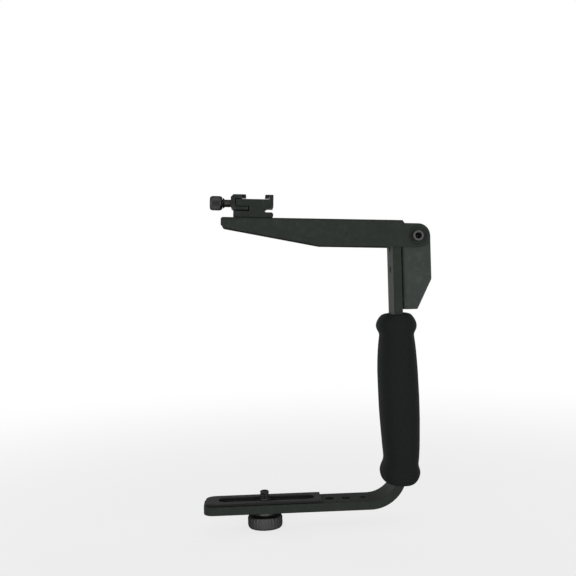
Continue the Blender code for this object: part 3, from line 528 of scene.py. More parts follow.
class Recipe:
    """The node tree of a material or of the world."""

    MIX_FIRST = 6
    MIX_SECOND = 7
    MIX_RESULT = 2
    FLAT_POINTINESS = 0.5
    RIDGE_CONTRAST = 9.0

    def __init__(self, tree: bpy.types.NodeTree) -> None:
        """Clears the tree."""
        self.tree = tree
        tree.nodes.clear()

    def node(
        self, kind: str, settings: dict[str, Any] | None = None, inputs: dict[str | int, Any] | None = None
    ) -> bpy.types.Node:
        """Adds one node.

        Args:
            kind: The node's type.
            settings: Its own settings, set first.
            inputs: What each socket is given: a Value, another node's socket or a plain value.

        Returns:
            The node.
        """
        made = self.tree.nodes.new(kind)
        for name, setting in (settings or {}).items():
            setattr(made, name, setting)
        for name, given in (inputs or {}).items():
            if isinstance(given, Value):
                given = given.socket
            if isinstance(given, bpy.types.NodeSocket):
                self.tree.links.new(given, made.inputs[name])
            else:
                made.inputs[name].default_value = given
        return made

    def value(self, node: bpy.types.Node, output: str | int = 0) -> "Value":
        """A number that a node puts out, ready for arithmetic."""
        return Value(self, node.outputs[output])

    def grain(self, size: float, detail: float = 2.0, stretch: Colour = (1.0, 1.0, 1.0)) -> "Value":
        """Noise from 0 to 1 whose grains are about one size.

        Args:
            size: Size of a grain.
            detail: Octaves of finer grain.
            stretch: How many times finer it is along each of the piece's own axes.

        Returns:
            The noise.
        """
        place = self.node("ShaderNodeTexCoord").outputs["Object"]
        scaled = self.node(
            "ShaderNodeVectorMath", {"operation": "MULTIPLY"}, {0: place, 1: tuple(s / size for s in stretch)}
        )
        made = self.node(
            "ShaderNodeTexNoise", inputs={"Vector": scaled.outputs[0], "Scale": 1.0, "Detail": detail}
        )
        return self.value(made)

    def cells(self, size: float) -> "Value":
        """Distance to the nearest cell's middle, for pores of about one size.

        Args:
            size: Size of a cell.

        Returns:
            The distance, in cells.
        """
        place = self.node("ShaderNodeTexCoord").outputs["Object"]
        made = self.node("ShaderNodeTexVoronoi", inputs={"Vector": place, "Scale": 1 / size})
        return self.value(made, "Distance")

    def ridges(self) -> "Value":
        """How far a place stands on a convex edge, 0 on a flat and towards 1 on an edge."""
        sharpness = self.value(self.node("ShaderNodeNewGeometry"), "Pointiness")
        return ((sharpness - self.FLAT_POINTINESS) * self.RIDGE_CONTRAST).clamped()

    def blend(self, factor: Any, first: Any, second: Any) -> bpy.types.NodeSocket:
        """Mixes two colours.

        Args:
            factor: Share of the second colour.
            first: Colour or colour socket.
            second: Colour or colour socket.

        Returns:
            The mixed colour's socket.
        """
        made = self.node(
            "ShaderNodeMix", {"data_type": "RGBA"},
            {0: factor, self.MIX_FIRST: first, self.MIX_SECOND: second},
        )
        return made.outputs[self.MIX_RESULT]


class Value:
    """A number that varies over a surface, with the operators that the finishes use."""

    def __init__(self, recipe: Recipe, socket: bpy.types.NodeSocket) -> None:
        """Wraps a socket."""
        self.recipe = recipe
        self.socket = socket

    def maths(self, operation: str, *operands: Any, clamp: bool = False) -> "Value":
        """Adds a Math node on the given operands.

        Args:
            operation: The node's operation.
            operands: Numbers or Values.
            clamp: Whether the result is kept between 0 and 1.

        Returns:
            The result.
        """
        made = self.recipe.node(
            "ShaderNodeMath", {"operation": operation, "use_clamp": clamp}, dict(enumerate(operands))
        )
        return self.recipe.value(made)

    def __add__(self, other: Any) -> "Value":
        """This plus other."""
        return self.maths("ADD", self, other)

    __radd__ = __add__

    def __sub__(self, other: Any) -> "Value":
        """This minus other."""
        return self.maths("SUBTRACT", self, other)

    def __rsub__(self, other: Any) -> "Value":
        """Other minus this."""
        return self.maths("SUBTRACT", other, self)

    def __mul__(self, other: Any) -> "Value":
        """This times other."""
        return self.maths("MULTIPLY", self, other)

    __rmul__ = __mul__

    def clamped(self) -> "Value":
        """This, kept between 0 and 1."""
        return self.maths("ADD", self, 0.0, clamp=True)

    def between(self, low: float, high: float) -> "Value":
        """A smooth step from 0 at low to 1 at high.

        Args:
            low: Where the step starts.
            high: Where it ends.

        Returns:
            The step.
        """
        made = self.recipe.node(
            "ShaderNodeMapRange", {"interpolation_type": "SMOOTHSTEP"},
            {"Value": self, "From Min": low, "From Max": high},
        )
        return self.recipe.value(made)


@dataclass(frozen=True)
class Finish:
    """A finish: one main colour and gloss, which each kind of finish varies in its own way."""

    slot: Slot
    colour: Colour
    worn_and_glint_colour: Colour
    roughness: float
    metallic: float = 0.0
    specular: float = 0.5
    rim_tint: float = 1.0
    gloss_spread: float = 0.10
    darkest: float = 0.86
    lightest: float = 1.16
    shade_size: float = 0.018
    shade_detail: float = 3.0
    wear_size: float = 0.0035
    wear_detail: float = 4.0
    wear_range: Point = (0.45, 0.75)
    wear_share: float = 0.5
    worn_and_glint_at_edges: bool = True
    grain_size: float = 0.0004
    grain_height: float = 0.000006

    def material(self) -> bpy.types.Material:
        """Builds the finish's material.

        Returns:
            The material.
        """
        made = bpy.data.materials.new(self.slot.value)
        made.use_nodes = True
        recipe = Recipe(made.node_tree)
        shade = self.shade(recipe)
        dark = tuple(channel * self.darkest for channel in self.colour)
        light = tuple(channel * self.lightest for channel in self.colour)
        base = recipe.blend(shade, (*dark, 1), (*light, 1))
        # The worn colour goes where the finish is rubbed, and on the black steel's edges it is also a painted
        # highlight.
        coloured = recipe.blend(self.wear_and_glint(recipe), base, (*self.worn_and_glint_colour, 1))
        bump = recipe.node(
            "ShaderNodeBump", inputs={"Strength": 1.0, "Distance": 1.0, "Height": self.relief(recipe)}
        )
        shader = recipe.node("ShaderNodeBsdfPrincipled", inputs={
            "Base Color": coloured,
            "Roughness": (self.roughness + (shade - 0.5) * self.gloss_spread).clamped(),
            "Metallic": self.metallic,
            "Specular IOR Level": self.specular,
            "Specular Tint": (*[self.rim_tint] * 3, 1),
            "Normal": bump.outputs["Normal"],
        })
        recipe.node("ShaderNodeOutputMaterial", inputs={"Surface": shader.outputs["BSDF"]})
        return made

    def shade(self, recipe: Recipe) -> Value:
        """Uneven tone, 0 darkest to 1 lightest."""
        return recipe.grain(self.shade_size, detail=self.shade_detail)

    def wear_and_glint(self, recipe: Recipe) -> Value:
        """Where the finish is rubbed or dusty, 0 to 1, and on the black steel's edges also a painted
        highlight.
        """
        patches = recipe.grain(self.wear_size, detail=self.wear_detail).between(*self.wear_range)
        return (recipe.ridges() * patches if self.worn_and_glint_at_edges else patches) * self.wear_share

    def relief(self, recipe: Recipe) -> Value:
        """Height of the surface's fine texture, in metres."""
        return recipe.grain(self.grain_size) * self.grain_height


@dataclass(frozen=True)
class PowderCoat(Finish):
    """Satin powder coat: a fine grain over a soft orange peel, rubbed at the edges."""

    grain_size: float = 0.00042
    grain_height: float = 0.000016
    peel_size: float = 0.0016
    peel_height: float = 0.000020

    def relief(self, recipe: Recipe) -> Value:
        """Fine grain and orange peel."""
        fine = recipe.grain(self.grain_size, detail=3.0) * self.grain_height
        return fine + recipe.grain(self.peel_size, detail=1.0) * self.peel_height


@dataclass(frozen=True)
class Anodised(Finish):
    """Black anodised extrusion, with faint drawing lines along the shoe's channel."""

    shade_size: float = 0.012
    grain_size: float = 0.00012
    grain_height: float = 0.000003
    line_size: float = 0.00035
    line_height: float = 0.000009
    line_stretch: Place = (1.0, 0.02, 1.0)

    def lines(self, recipe: Recipe) -> Value:
        """Noise drawn out along the extrusion."""
        return recipe.grain(self.line_size, stretch=self.line_stretch)

    def shade(self, recipe: Recipe) -> Value:
        """Streaks along the extrusion and a slow change over it."""
        return self.lines(recipe) * 0.5 + recipe.grain(self.shade_size) * 0.5

    def relief(self, recipe: Recipe) -> Value:
        """Drawing lines and a fine etched grain."""
        return self.lines(recipe) * self.line_height + recipe.grain(self.grain_size) * self.grain_height


@dataclass(frozen=True)
class Foam(Finish):
    """Closed-cell foam rubber: fine pores in a dull skin."""

    gloss_spread: float = 0.04
    shade_size: float = 0.022
    shade_detail: float = 4.0
    wear_size: float = 0.0011
    wear_detail: float = 5.0
    wear_range: Point = (0.58, 0.85)
    wear_share: float = 0.35
    worn_and_glint_at_edges: bool = False
    grain_size: float = 0.00032
    grain_share: float = 0.35
    pore_size: float = 0.00075
    pore_depth: float = 0.00011
    pore_range: Point = (0.05, 0.45)
    skin_size: float = 0.0042
    skin_height: float = 0.00010

    def shade(self, recipe: Recipe) -> Value:
        """Painted shade in the pores, darkest at each pore's middle, and a slow change along the sleeve."""
        # The pores' middles are darkened as painted shade.
        return recipe.cells(self.pore_size) * 0.5 + super().shade(recipe) * 0.5

    def relief(self, recipe: Recipe) -> Value:
        """Pores over the skin's slow unevenness.

        Args:
            recipe: The material's nodes.

        Returns:
            The height.
        """
        pores = recipe.cells(self.pore_size).between(*self.pore_range) * self.pore_depth
        small = recipe.grain(self.grain_size) * (self.pore_depth * self.grain_share)
        return pores + small + recipe.grain(self.skin_size) * self.skin_height


@dataclass(frozen=True)
class SheetRubber(Finish):
    """Moulded rubber sheet with a fine stipple."""

    gloss_spread: float = 0.06
    wear_size: float = 0.0009
    wear_detail: float = 5.0
    wear_range: Point = (0.55, 0.9)
    wear_share: float = 0.4
    worn_and_glint_at_edges: bool = False
    grain_size: float = 0.0002
    grain_height: float = 0.00001
    stipple_size: float = 0.0007
    stipple_height: float = 0.00005

    def relief(self, recipe: Recipe) -> Value:
        """A stipple of rounded grains."""
        return (1 - recipe.cells(self.stipple_size)) * self.stipple_height + super().relief(recipe)


@dataclass(frozen=True)
class BlackSteel(Finish):
    """Black-oxide steel: oily dark metal with turning marks, and lighter edges that are partly bare metal and
    partly a painted highlight.
    """

    gloss_spread: float = 0.22
    shade_size: float = 0.0026
    shade_detail: float = 5.0
    # Lighter convex edges and knurl ridges: partly bare-metal wear, partly a painted highlight.
    wear_size: float = 0.0012
    wear_detail: float = 3.0
    wear_range: Point = (0.35, 0.6)
    wear_share: float = 0.10
    grain_size: float = 0.0008
    grain_height: float = 0.000004
    mark_size: float = 0.00025
    mark_height: float = 0.000006
    mark_stretch: Place = (0.15, 0.15, 1.0)

    def relief(self, recipe: Recipe) -> Value:
        """Turning marks round the piece and a finer grain."""
        marks = recipe.grain(self.mark_size, stretch=self.mark_stretch) * self.mark_height
        return marks + super().relief(recipe)


@dataclass(frozen=True)
class Nylon(Finish):
    """Natural nylon, faintly clouded, with a faint moulded unevenness."""

    grain_size: float = 0.0012
    grain_height: float = 0.00001


FINISHES = (
    PowderCoat(Slot.BLACK_PAINT, (0.0228, 0.0267, 0.0238), (0.048, 0.053, 0.050), 0.64, specular=0.015),
    PowderCoat(Slot.CHARCOAL_PAINT, (0.0338, 0.0398, 0.0366), (0.075, 0.081, 0.077), 0.62, specular=0.05),
    Anodised(Slot.BLACK_ALLOY, (0.0120, 0.0150, 0.0128), (0.045, 0.049, 0.046), 0.54, specular=0.08),
    Foam(Slot.BLACK_FOAM, (0.0112, 0.0131, 0.0119), (0.020, 0.022, 0.021), 0.95, specular=0.03),
    SheetRubber(Slot.BLACK_RUBBER, (0.011, 0.011, 0.011), (0.032, 0.032, 0.031), 0.85, specular=0.12),
    # The dark steel's lighter worn colour on its edges is also a painted highlight.
    BlackSteel(
        Slot.DARK_STEEL, (0.039, 0.0395, 0.0390), (0.12, 0.12, 0.116), 0.48, metallic=1.0, rim_tint=0.2
    ),
    Nylon(Slot.NYLON, (0.55, 0.55, 0.52), (0.45, 0.45, 0.42), 0.50),
)


@dataclass
class Workshop:
    """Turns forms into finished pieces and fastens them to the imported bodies."""

    materials: dict[Slot, bpy.types.Material] = field(
        default_factory=lambda: {finish.slot: finish.material() for finish in FINISHES}
    )

    def add(
        self, piece: str, form: Form, slot: Slot, body: Body, node: str, place: Matrix = Matrix.Identity(4)
    ) -> bpy.types.Object:
        """Finishes one piece.

        Args:
            piece: Its name.
            form: Its mesh, which is used up.
            slot: The slot of its finish.
            body: The body that carries it.
            node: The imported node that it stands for.
            place: Its place in the row frame.

        Returns:
            The finished object.
        """
        made = form.as_object(piece)
        made.data.shade_smooth()
        made.data.set_sharp_from_angle(angle=SHARP_ANGLE)
        evening = made.modifiers.new("even_shading", "WEIGHTED_NORMAL")
        evening.keep_sharp = True
        made.data.materials.append(self.materials[slot])
        made.matrix_world = place
        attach(made, body.value)
        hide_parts(node)
        LOG.info("%s: %d faces on %s", piece, len(made.data.polygons), body.value)
        return made


def joint_named(name: str) -> dict[str, Any]:
    """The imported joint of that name."""
    return next(joint for joint in frame["joints"] if joint["name"] == name)


def axes_on_arm(joint_name: str) -> Matrix:
    """The arm's own axes, X to the right along it and Z up off its web, at a joint's place.

    Args:
        joint_name: The joint at whose place they stand.

    Returns:
        The axes in the row frame.
    """
    along = Vector(joint_named("jaw_slide")["axis"]).normalized()
    across = Vector((0, 1, 0))
    axes = Matrix((along, across, along.cross(across))).transposed().to_4x4()
    return Matrix.Translation(joint_named(joint_name)["pos_m"]) @ axes


def turned_to(axis: Place, place: Place = (0, 0, 0)) -> Matrix:
    """A turn that takes +Z to an axis, and a move to a place."""
    turn = Vector((0, 0, 1)).rotation_difference(Vector(axis)).to_matrix().to_4x4()
    return Matrix.Translation(place) @ turn


@dataclass
class CapScrew:
    """A socket-head cap screw along +Z, from its head's outer face at 0 to its tip.

    The fields of the head's edges and ridges are shares of its radius or height, apart from
    ridge_start, which counts roundings. Those of the lead-in and the drilled point are shares
    of the socket's size. The other defaults are those of a small screw.
    """

    head_radius: float
    head_height: float
    length: float
    radius: float = 0.0020
    socket_across: float = 0.0025
    socket_depth: float = 0.0014
    pitch: float = 0.0007
    plain_length: float = 0.0
    ridges: int = 28
    head_rounding: float = 0.32
    head_inset: float = 0.02
    ridge_depth: float = 0.025
    ridge_start: float = 1.5
    ridge_end: float = 0.82
    head_back: tuple[Point, Point] = ((0.97, 0.88), (0.93, 1.0))
    plain_run: float = 0.0002
    thread_start: float = 0.0003
    tip_turns: float = 0.7
    lead_in: Place = (1.03, 0.86, 0.17)
    socket_share: float = 0.6
    drill: Place = (0.49, 0.10, 0.8)
    socket_count: int = 24

    def form(self) -> Form:
        """Builds the screw.

        Returns:
            The screw.
        """
        rounding = self.head_height * self.head_rounding
        ridged = knurl(self.head_radius, self.head_radius * self.ridge_depth, self.ridges)
        profile = round_edge(self.head_radius - self.head_radius * self.head_inset, 0, rounding, rising=True)
        profile += [(ridged, rounding * self.ridge_start), (ridged, self.head_height * self.ridge_end)]
        profile += [(self.head_radius * out, self.head_height * up) for out, up in self.head_back]
        shoulder = self.head_height + self.plain_length
        profile += [(self.radius, self.head_height), (self.radius, shoulder + self.plain_run)]
        tip = self.head_height + self.length
        thread_end = tip - self.pitch * self.tip_turns
        profile += thread_rows(self.radius, self.pitch, shoulder + self.thread_start, thread_end, tip)
        return Form.spun(profile, count=self.ridges * 2).joined(Join.CUT, *self._socket())

    def _socket(self) -> list[Form]:
        """The cutters of the socket: its lead-in, its hexagon and its drilled point.

        Returns:
            The three cutters.
        """
        corner = self.socket_across / sqrt(3)
        mouth, throat, lead_depth = (corner * share for share in self.lead_in)
        drilled, point, point_depth = (self.socket_across * share for share in self.drill)
        bottom = self.socket_depth * self.socket_share
        point_rows = [(drilled, 0.0), (drilled, bottom), (point, bottom + point_depth)]
        return [
            Form.spun([(mouth + OVERRUN, -OVERRUN), (throat, lead_depth)], count=self.socket_count),
            Form.hexagon(self.socket_across, -OVERRUN, bottom),
            Form.spun(point_rows, count=self.socket_count),
        ]


@dataclass
class FlatBar:
    """The bent flat bar, in its own axes: zero on the lens axis, at the flat leg's top and mid width."""

    width: float = 0.0254
    thickness: float = 0.0060
    edge_rounding: float = 0.00055
    inner_radius: float = 0.0198
    post_reach: float = 0.0922
    base_reach: float = 0.0420
    base_corner: float = 0.0070
    post_corner: float = 0.0040
    slot_reaches: Point = (0.0300, 0.0325)
    slot_half: float = 0.00347
    hole_reaches: tuple[float, ...] = (0.0452, 0.0568, 0.0684)
    hole_radii: tuple[float, ...] = (0.0033, 0.0033, 0.0021)
    tap_heights: tuple[float, ...] = (0.1725, 0.1581)
    tap_radius: float = 0.0023
    rim: float = 0.00035
    bend_steps: int = 20
    corner_steps: int = 8

    @property
    def half(self) -> float:
        """Half the bar's width."""
        return self.width / 2

    @property
    def post_outer(self) -> float:
        """Where the post's outer face is."""
        return self.post_reach + self.thickness

    @property
    def post_middle(self) -> float:
        """Where the middle of the post is."""
        return self.post_reach + self.thickness / 2

    def axes(self) -> Matrix:
        """The bracket's own axes in the row frame."""
        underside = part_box("frame_bar")[0].z
        return Matrix.Translation((0, 0, underside + self.thickness))

    def build(self, workshop: Workshop) -> None:
        """Builds the bar.

        Args:
            workshop: What finishes the pieces.
        """
        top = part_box("frame_bar")[1].z - self.axes().translation.z
        bend_start = self.post_reach - self.inner_radius
        centre = (bend_start, self.inner_radius)
        outline = [(-self.base_reach, -self.thickness), (-self.base_reach, 0)]
        outline += arc(centre, self.inner_radius, -QUARTER_TURN, 0, self.bend_steps)
        outline += [(self.post_reach, top), (self.post_outer, top)]
        outline += arc(centre, self.inner_radius + self.thickness, 0, -QUARTER_TURN, self.bend_steps)
        bar = Form.prism(outline, Axis.Y, -self.half, self.half)
        bar.softened(
            self.base_corner, self.corner_steps,
            lambda at, way: at.x < NEAR - self.base_reach and abs(way.z) > ALIGNED,
        )
        bar.softened(
            self.post_corner, self.corner_steps, lambda at, way: at.z > top - NEAR and abs(way.x) > ALIGNED
        )
        bar.softened(self.edge_rounding, steps=3)
        taps = self.post_holes(self.tap_radius, self.post_reach, self.thickness, self.rim)
        bar.joined(Join.CUT, self._slot(), *self._holes(), *taps)
        workshop.add("bent_bar", bar, Slot.BLACK_PAINT, Body.FRAME, "frame_bar", self.axes())

    def _slot(self) -> Form:
        """The slot's cutter, flared at both faces.

        Returns:
            The cutter.
        """
        left, right = self.slot_reaches
        flare = self.rim + OVERRUN
        rows = (
            (flare, -self.thickness - OVERRUN), (0, -self.thickness + self.rim),
            (0, -self.rim), (flare, OVERRUN),
        )
        rings = []
        for growth, height in rows:
            ends = stadium(self.slot_half - left, right - self.slot_half, self.slot_half + growth)
            rings.append([(x, y, height) for x, y in ends])
        return Form.lofted(rings)

    def _holes(self) -> list[Form]:
        """The cutters of the flat leg's holes.

        Returns:
            One cutter for each hole.
        """
        return [
            Form.through_hole(radius, -self.thickness, 0, self.rim).moved(Matrix.Translation((reach, 0, 0)))
            for reach, radius in zip(self.hole_reaches, self.hole_radii)
        ]

    def post_holes(self, radius: float, face: float, depth: float, rim: float) -> list[Form]:
        """Cutters along X at the heights of the post's two screws.

        Args:
            radius: Their radius.
            face: Where the face that they start from is.
            depth: Thickness of what they go through.
            rim: Size of their chamfers.

        Returns:
            The upper and the lower cutter.
        """
        return [
            Form.through_hole(radius, 0, depth, rim).moved(turned_to((1, 0, 0), (face, 0, height)))
            for height in self.tap_heights
        ]


@dataclass
class FoamGrip:
    """The foam sleeve on the post, with a bulge at each end."""

    bar: FlatBar
    top: float = 0.1275
    length: float = 0.1178
    half_depth: float = 0.0142
    half_width: float = 0.0174
    lean: float = radians(4.8)
    lean_length: float = 0.0150
    squareness: float = 2.4
    width_change_share: float = 0.40
    unevenness: float = 0.00016
    unevenness_size: float = 0.011
    unevenness_bias: float = 0.6
    skin_start: Point = (0.004, 0.001)
    skin_run: Point = (0.004, 0.002)
    around: int = 56
    inner_rings: int = 24
    inner_end: float = 0.9985
    inner_length: float = 0.9970
    outer_rings: tuple[tuple[float, float, float, float], ...] = (
        (0.0006, 0.52, 0, -2.6), (0.003, 0.63, 0, -2.6), (0.010, 0.735, 0, -2.3), (0.024, 0.835, 0, -1.5),
        (0.046, 0.945, 0, -0.6), (0.072, 1.00, 0, 0), (0.096, 0.945, 0, 0), (0.113, 0.845, 0, 0),
        (0.128, 0.826, 0, 0), (0.160, 0.865, 0, 0), (0.214, 0.92, 0, 0), (0.330, 0.98, 0, 0),
        (0.500, 0.99, 0.0004, 0), (0.620, 0.970, 0.0007, 0), (0.740, 0.930, 0.0009, 1.0),
        (0.825, 0.880, 0.0010, 3.5), (0.862, 0.850, 0.0009, 5.0), (0.883, 0.850, 0.0004, 4.5),
        (0.906, 0.935, 0, 2.5), (0.930, 0.995, 0, 0.5), (0.955, 0.965, 0, -0.5),
        (0.980, 0.875, -0.0001, -1.0), (0.993, 0.77, -0.0003, -1.2), (0.998, 0.68, -0.0003, -1.2),
        (0.9995, 0.56, -0.0003, -1.2),
    )

    def build(self, workshop: Workshop) -> None:
        """Builds the sleeve.

        Args:
            workshop: What finishes the pieces.
        """
        rings = [self._outer_ring(*row) for row in self.outer_rings]
        for step in range(self.inner_rings + 1):
            rings.append(self._inner_ring(self.inner_end - self.inner_length * step / self.inner_rings))
        sleeve = Form.lofted(rings, looped=True).rounded_out(1)
        self._roughen(sleeve)
        place = self.bar.axes()
        made = workshop.add("foam_sleeve", sleeve, Slot.BLACK_FOAM, Body.FRAME, "grip_sleeve", place)

    @property
    def angles(self) -> list[float]:
        """The angles of a ring's points."""
        return [FULL_TURN * (step + 0.5) / self.around for step in range(self.around)]

    def _middle(self, along: float) -> tuple[float, float, float]:
        """Middle and lean of the sleeve at a share of its length from the top.

        Args:
            along: Share of the length.

        Returns:
            Place across, height and lean.
        """
        run = self.length * along
        straight = self.length - self.lean_length
        if run <= straight:
            return self.bar.post_middle, self.top - run, 0.0
        lean = self.lean * (run - straight) / self.lean_length
        radius = self.lean_length / self.lean
        across = self.bar.post_middle - radius * (1 - cos(lean))
        return across, self.top - straight - radius * sin(lean), lean

    def _outer_ring(self, along: float, share: float, sway: float, tilt: float) -> list[Vector]:
        """A ring of the outside.

        Args:
            along: Its place, as a share of the length from the top.
            share: Its depth, as a share of the full depth.
            sway: How far it stands to the outer side of the post's middle.
            tilt: How far its outer side hangs down, in degrees, beside the sleeve's lean.

        Returns:
            Its points.
        """
        x, z, lean = self._middle(along)
        x += sway
        lean += radians(tilt)
        deep = self.half_depth * share
        wide = self.half_width * (1 - self.width_change_share * (1 - share))
        ring = []
        for angle in self.angles:
            across = deep * self._squared(cos(angle))
            out = wide * self._squared(sin(angle))
            ring.append(Vector((x + across * cos(lean), out, z - across * sin(lean))))
        return ring

    def _squared(self, share: float) -> float:
        """A sine or cosine drawn outwards, so that a circle turns into a rounded square."""
        return copysign(abs(share) ** (2 / self.squareness), share)

    def _inner_ring(self, along: float) -> list[Vector]:
        """A ring of the inside, which follows the bar's section and its bend.

        Args:
            along: Share of the length from the top.

        Returns:
            Its points.
        """
        _, height, _ = self._middle(along)
        centre_x = self.bar.post_reach - self.bar.inner_radius
        centre_z = self.bar.inner_radius
        ring = []
        for angle in self.angles:
            across, out = self._on_rectangle(cos(angle), sin(angle))
            if height >= centre_z:
                ring.append(Vector((self.bar.post_middle + across, out, height)))
                continue
            radius = self.bar.inner_radius + self.bar.thickness / 2 + across
            turn = atan2(centre_z - height, radius)
            ring.append(Vector((centre_x + radius * cos(turn), out, centre_z - radius * sin(turn))))
        return ring

    def _on_rectangle(self, x: float, y: float) -> Point:
        """The point of the bar's grown section in a direction.

        Args:
            x: The direction's share across the post.
            y: Its share along the lens axis.

        Returns:
            The point.
        """
        half_x = self.bar.thickness / 2 + GAP
        half_y = self.bar.half + GAP
        reach = min(half_x / max(abs(x), TINY), half_y / max(abs(y), TINY))
        return (x * reach, y * reach)

    def _roughen(self, sleeve: Form) -> None:
        """Makes the outside slightly uneven, as foam is, and leaves the inside alone.

        Args:
            sleeve: The sleeve, which is changed.
        """
        for vertex in sleeve.shape.verts:
            across = vertex.co.x - self.bar.post_middle
            beyond = (abs(across) - self.skin_start[0], abs(vertex.co.y) - self.bar.half - self.skin_start[1])
            share = min(1.0, max(0.0, *(far / run for far, run in zip(beyond, self.skin_run))))
            wave = noise.noise(vertex.co / self.unevenness_size)
            outward = Vector((across, vertex.co.y, 0)).normalized()
            vertex.co += outward * (wave - self.unevenness_bias) * self.unevenness * share


@dataclass
class CameraPad:
    """The thin rubber pad under the camera."""

    bar: FlatBar
    thickness: float = 0.0014
    half: float = 0.0118
    left: float = 0.0408
    right: float = 0.0390
    corner: float = 0.0070
    corner_steps: int = 10
    slot_half: float = 0.0056
    slot_growth: float = 0.00213
    edge: float = 0.0002

    def build(self, workshop: Workshop) -> None:
        """Builds the pad.

        Args:
            workshop: What finishes the pieces.
        """
        high = GAP + self.thickness
        outline: list[Point] = []
        for way, start in ((1, QUARTER_TURN), (-1, pi)):
            middle = (self.corner - self.left, way * (self.half - self.corner))
            outline += arc(middle, self.corner, start, start + QUARTER_TURN, self.corner_steps)
        outline += [(self.right, -self.half), (self.right, self.half)]
        pad = Form.prism(outline, Axis.Z, GAP, high)
        left, right = (reach + self.slot_growth for reach in self.bar.slot_reaches)
        opening = stadium(self.slot_half - left, right - self.slot_half, self.slot_half)
        pad.joined(Join.CUT, Form.prism(opening, Axis.Z, GAP - OVERRUN, high + OVERRUN))
        pad.softened(self.edge)
        workshop.add("rubber_pad", pad, Slot.BLACK_RUBBER, Body.FRAME, "camera_pad", self.bar.axes())


def channel_outline(
    half: float, sheet: float, fold: float, open_end: float, web: float, way: int
) -> list[Point]:
    """Section of a folded channel.

    Args:
        half: Half its outside width.
        sheet: Its sheet's thickness.
        fold: Outside radius of its folds.
        open_end: Where its flanges end.
        web: Where its web's outer face is.
        way: 1 where the web is on the high side, -1 where it is on the low side.

    Returns:
        The outline, across the channel first.
    """
    angles = quarter_angles(FOLD_STEPS)
    inside = fold - sheet
    centre = web - way * fold
    right = half - fold
    outline = [(-half, open_end)]
    outline += [(-right - fold * cos(a), centre + way * fold * sin(a)) for a in angles]
    outline += [(right + fold * cos(a), centre + way * fold * sin(a)) for a in reversed(angles)]
    outline += [(half, open_end), (half - sheet, open_end)]
    outline += [(right + inside * cos(a), centre + way * inside * sin(a)) for a in angles]
    outline += [(-right - inside * cos(a), centre + way * inside * sin(a)) for a in reversed(angles)]
    outline += [(-half + sheet, open_end)]
    return outline


@dataclass
class PivotBracket:
    """The folded channel on the post's outer face and the two screws that hold it."""

    bar: FlatBar
    sheet: float = 0.0016
    fold: float = 0.0042
    pivot_offset: float = 0.0110
    pivot_height: float = 0.1806
    flange_reach: float = 0.0091
    flange_radius: float = 0.0078
    shoulder: float = 0.0060
    straight: float = 0.0297
    drop: float = 0.0500
    foot_inset: float = 0.0010
    bore_radius: float = 0.0028
    hole_radius: float = 0.0023
    rim: float = 0.0002
    edge: float = 0.00022
    flange_steps: int = 18
    washer_outer: float = 0.0038
    washer_thickness: float = 0.0010
    washer_split: float = radians(14)
    head_radius: float = 0.0037
    head_height: float = 0.0025
    screw_recess: float = 0.0013

    def build(self, workshop: Workshop) -> None:
        """Builds the bracket, its screws and their lock washers.

        Args:
            workshop: What finishes the pieces.
        """
        face = self.bar.post_outer + GAP
        pivot_x = self.bar.post_outer + self.pivot_offset
        open_end = pivot_x + self.flange_reach + OVERRUN
        section = channel_outline(self.bar.half, self.sheet, self.fold, open_end, face, -1)
        low = self.pivot_height - self.drop - OVERRUN
        high = self.pivot_height + self.flange_radius + OVERRUN
        channel = Form.prism([(along, across) for across, along in section], Axis.Z, low, high)
        reach = self.bar.half + OVERRUN
        channel.joined(Join.KEEP, Form.prism(self._side(face, pivot_x), Axis.Y, -reach, reach))
        channel.softened(self.edge)
        holes = self.bar.post_holes(self.hole_radius, face, self.sheet, self.rim)
        pivot = turned_to((0, 1, 0), (pivot_x, 0, self.pivot_height))
        channel.joined(Join.CUT, *holes, Form.bore(self.bore_radius, -reach, reach, pivot))
        place = self.bar.axes()
        workshop.add("bracket_channel", channel, Slot.CHARCOAL_PAINT, Body.FRAME, "pivot_bracket", place)
        self._fixings(workshop, face)

    def _side(self, face: float, pivot_x: float) -> list[Point]:
        """Side view of the bracket.

        Args:
            face: Where its web's outer face is.
            pivot_x: Where the pivot is.

        Returns:
            The outline.
        """
        left = face - OVERRUN
        height = self.pivot_height
        end = atan2(self.shoulder, -sqrt(self.flange_radius**2 - self.shoulder**2))
        outline = [(left, height - self.drop), (pivot_x - self.foot_inset, height - self.drop)]
        outline += [(pivot_x + self.flange_reach, height - self.straight)]
        middle = pivot_x + self.flange_reach - self.flange_radius
        outline += arc((middle, height), self.flange_radius, 0, end, self.flange_steps)
        return outline + [(left, height + self.shoulder)]

    def _fixings(self, workshop: Workshop, face: float) -> None:
        """The screws, their heads towards the open side, and a split washer under each head.

        Args:
            workshop: What finishes the pieces.
            face: Where the bracket's web meets the post.
        """
        washer_high = face + self.sheet + GAP + self.washer_thickness
        head_seat = washer_high + GAP
        length = head_seat - self.bar.post_reach - self.screw_recess
        screw = CapScrew(self.head_radius, self.head_height, length)
        head_top = head_seat + self.head_height
        for level, height in zip(("upper", "lower"), self.bar.tap_heights):
            washer = Form.open_ring(
                self.hole_radius, self.washer_outer, 0, self.washer_thickness, self.washer_split
            )
            for piece, form, node, reach in (
                (f"{level}_bracket_screw", screw.form(), f"bracket_screw_{level}", head_top),
                (f"{level}_split_washer", washer, f"bracket_lock_washer_{level}", washer_high),
            ):
                place = self.bar.axes() @ turned_to((-1, 0, 0), (reach, 0, height))
                workshop.add(piece, form, Slot.DARK_STEEL, Body.FRAME, node, place)


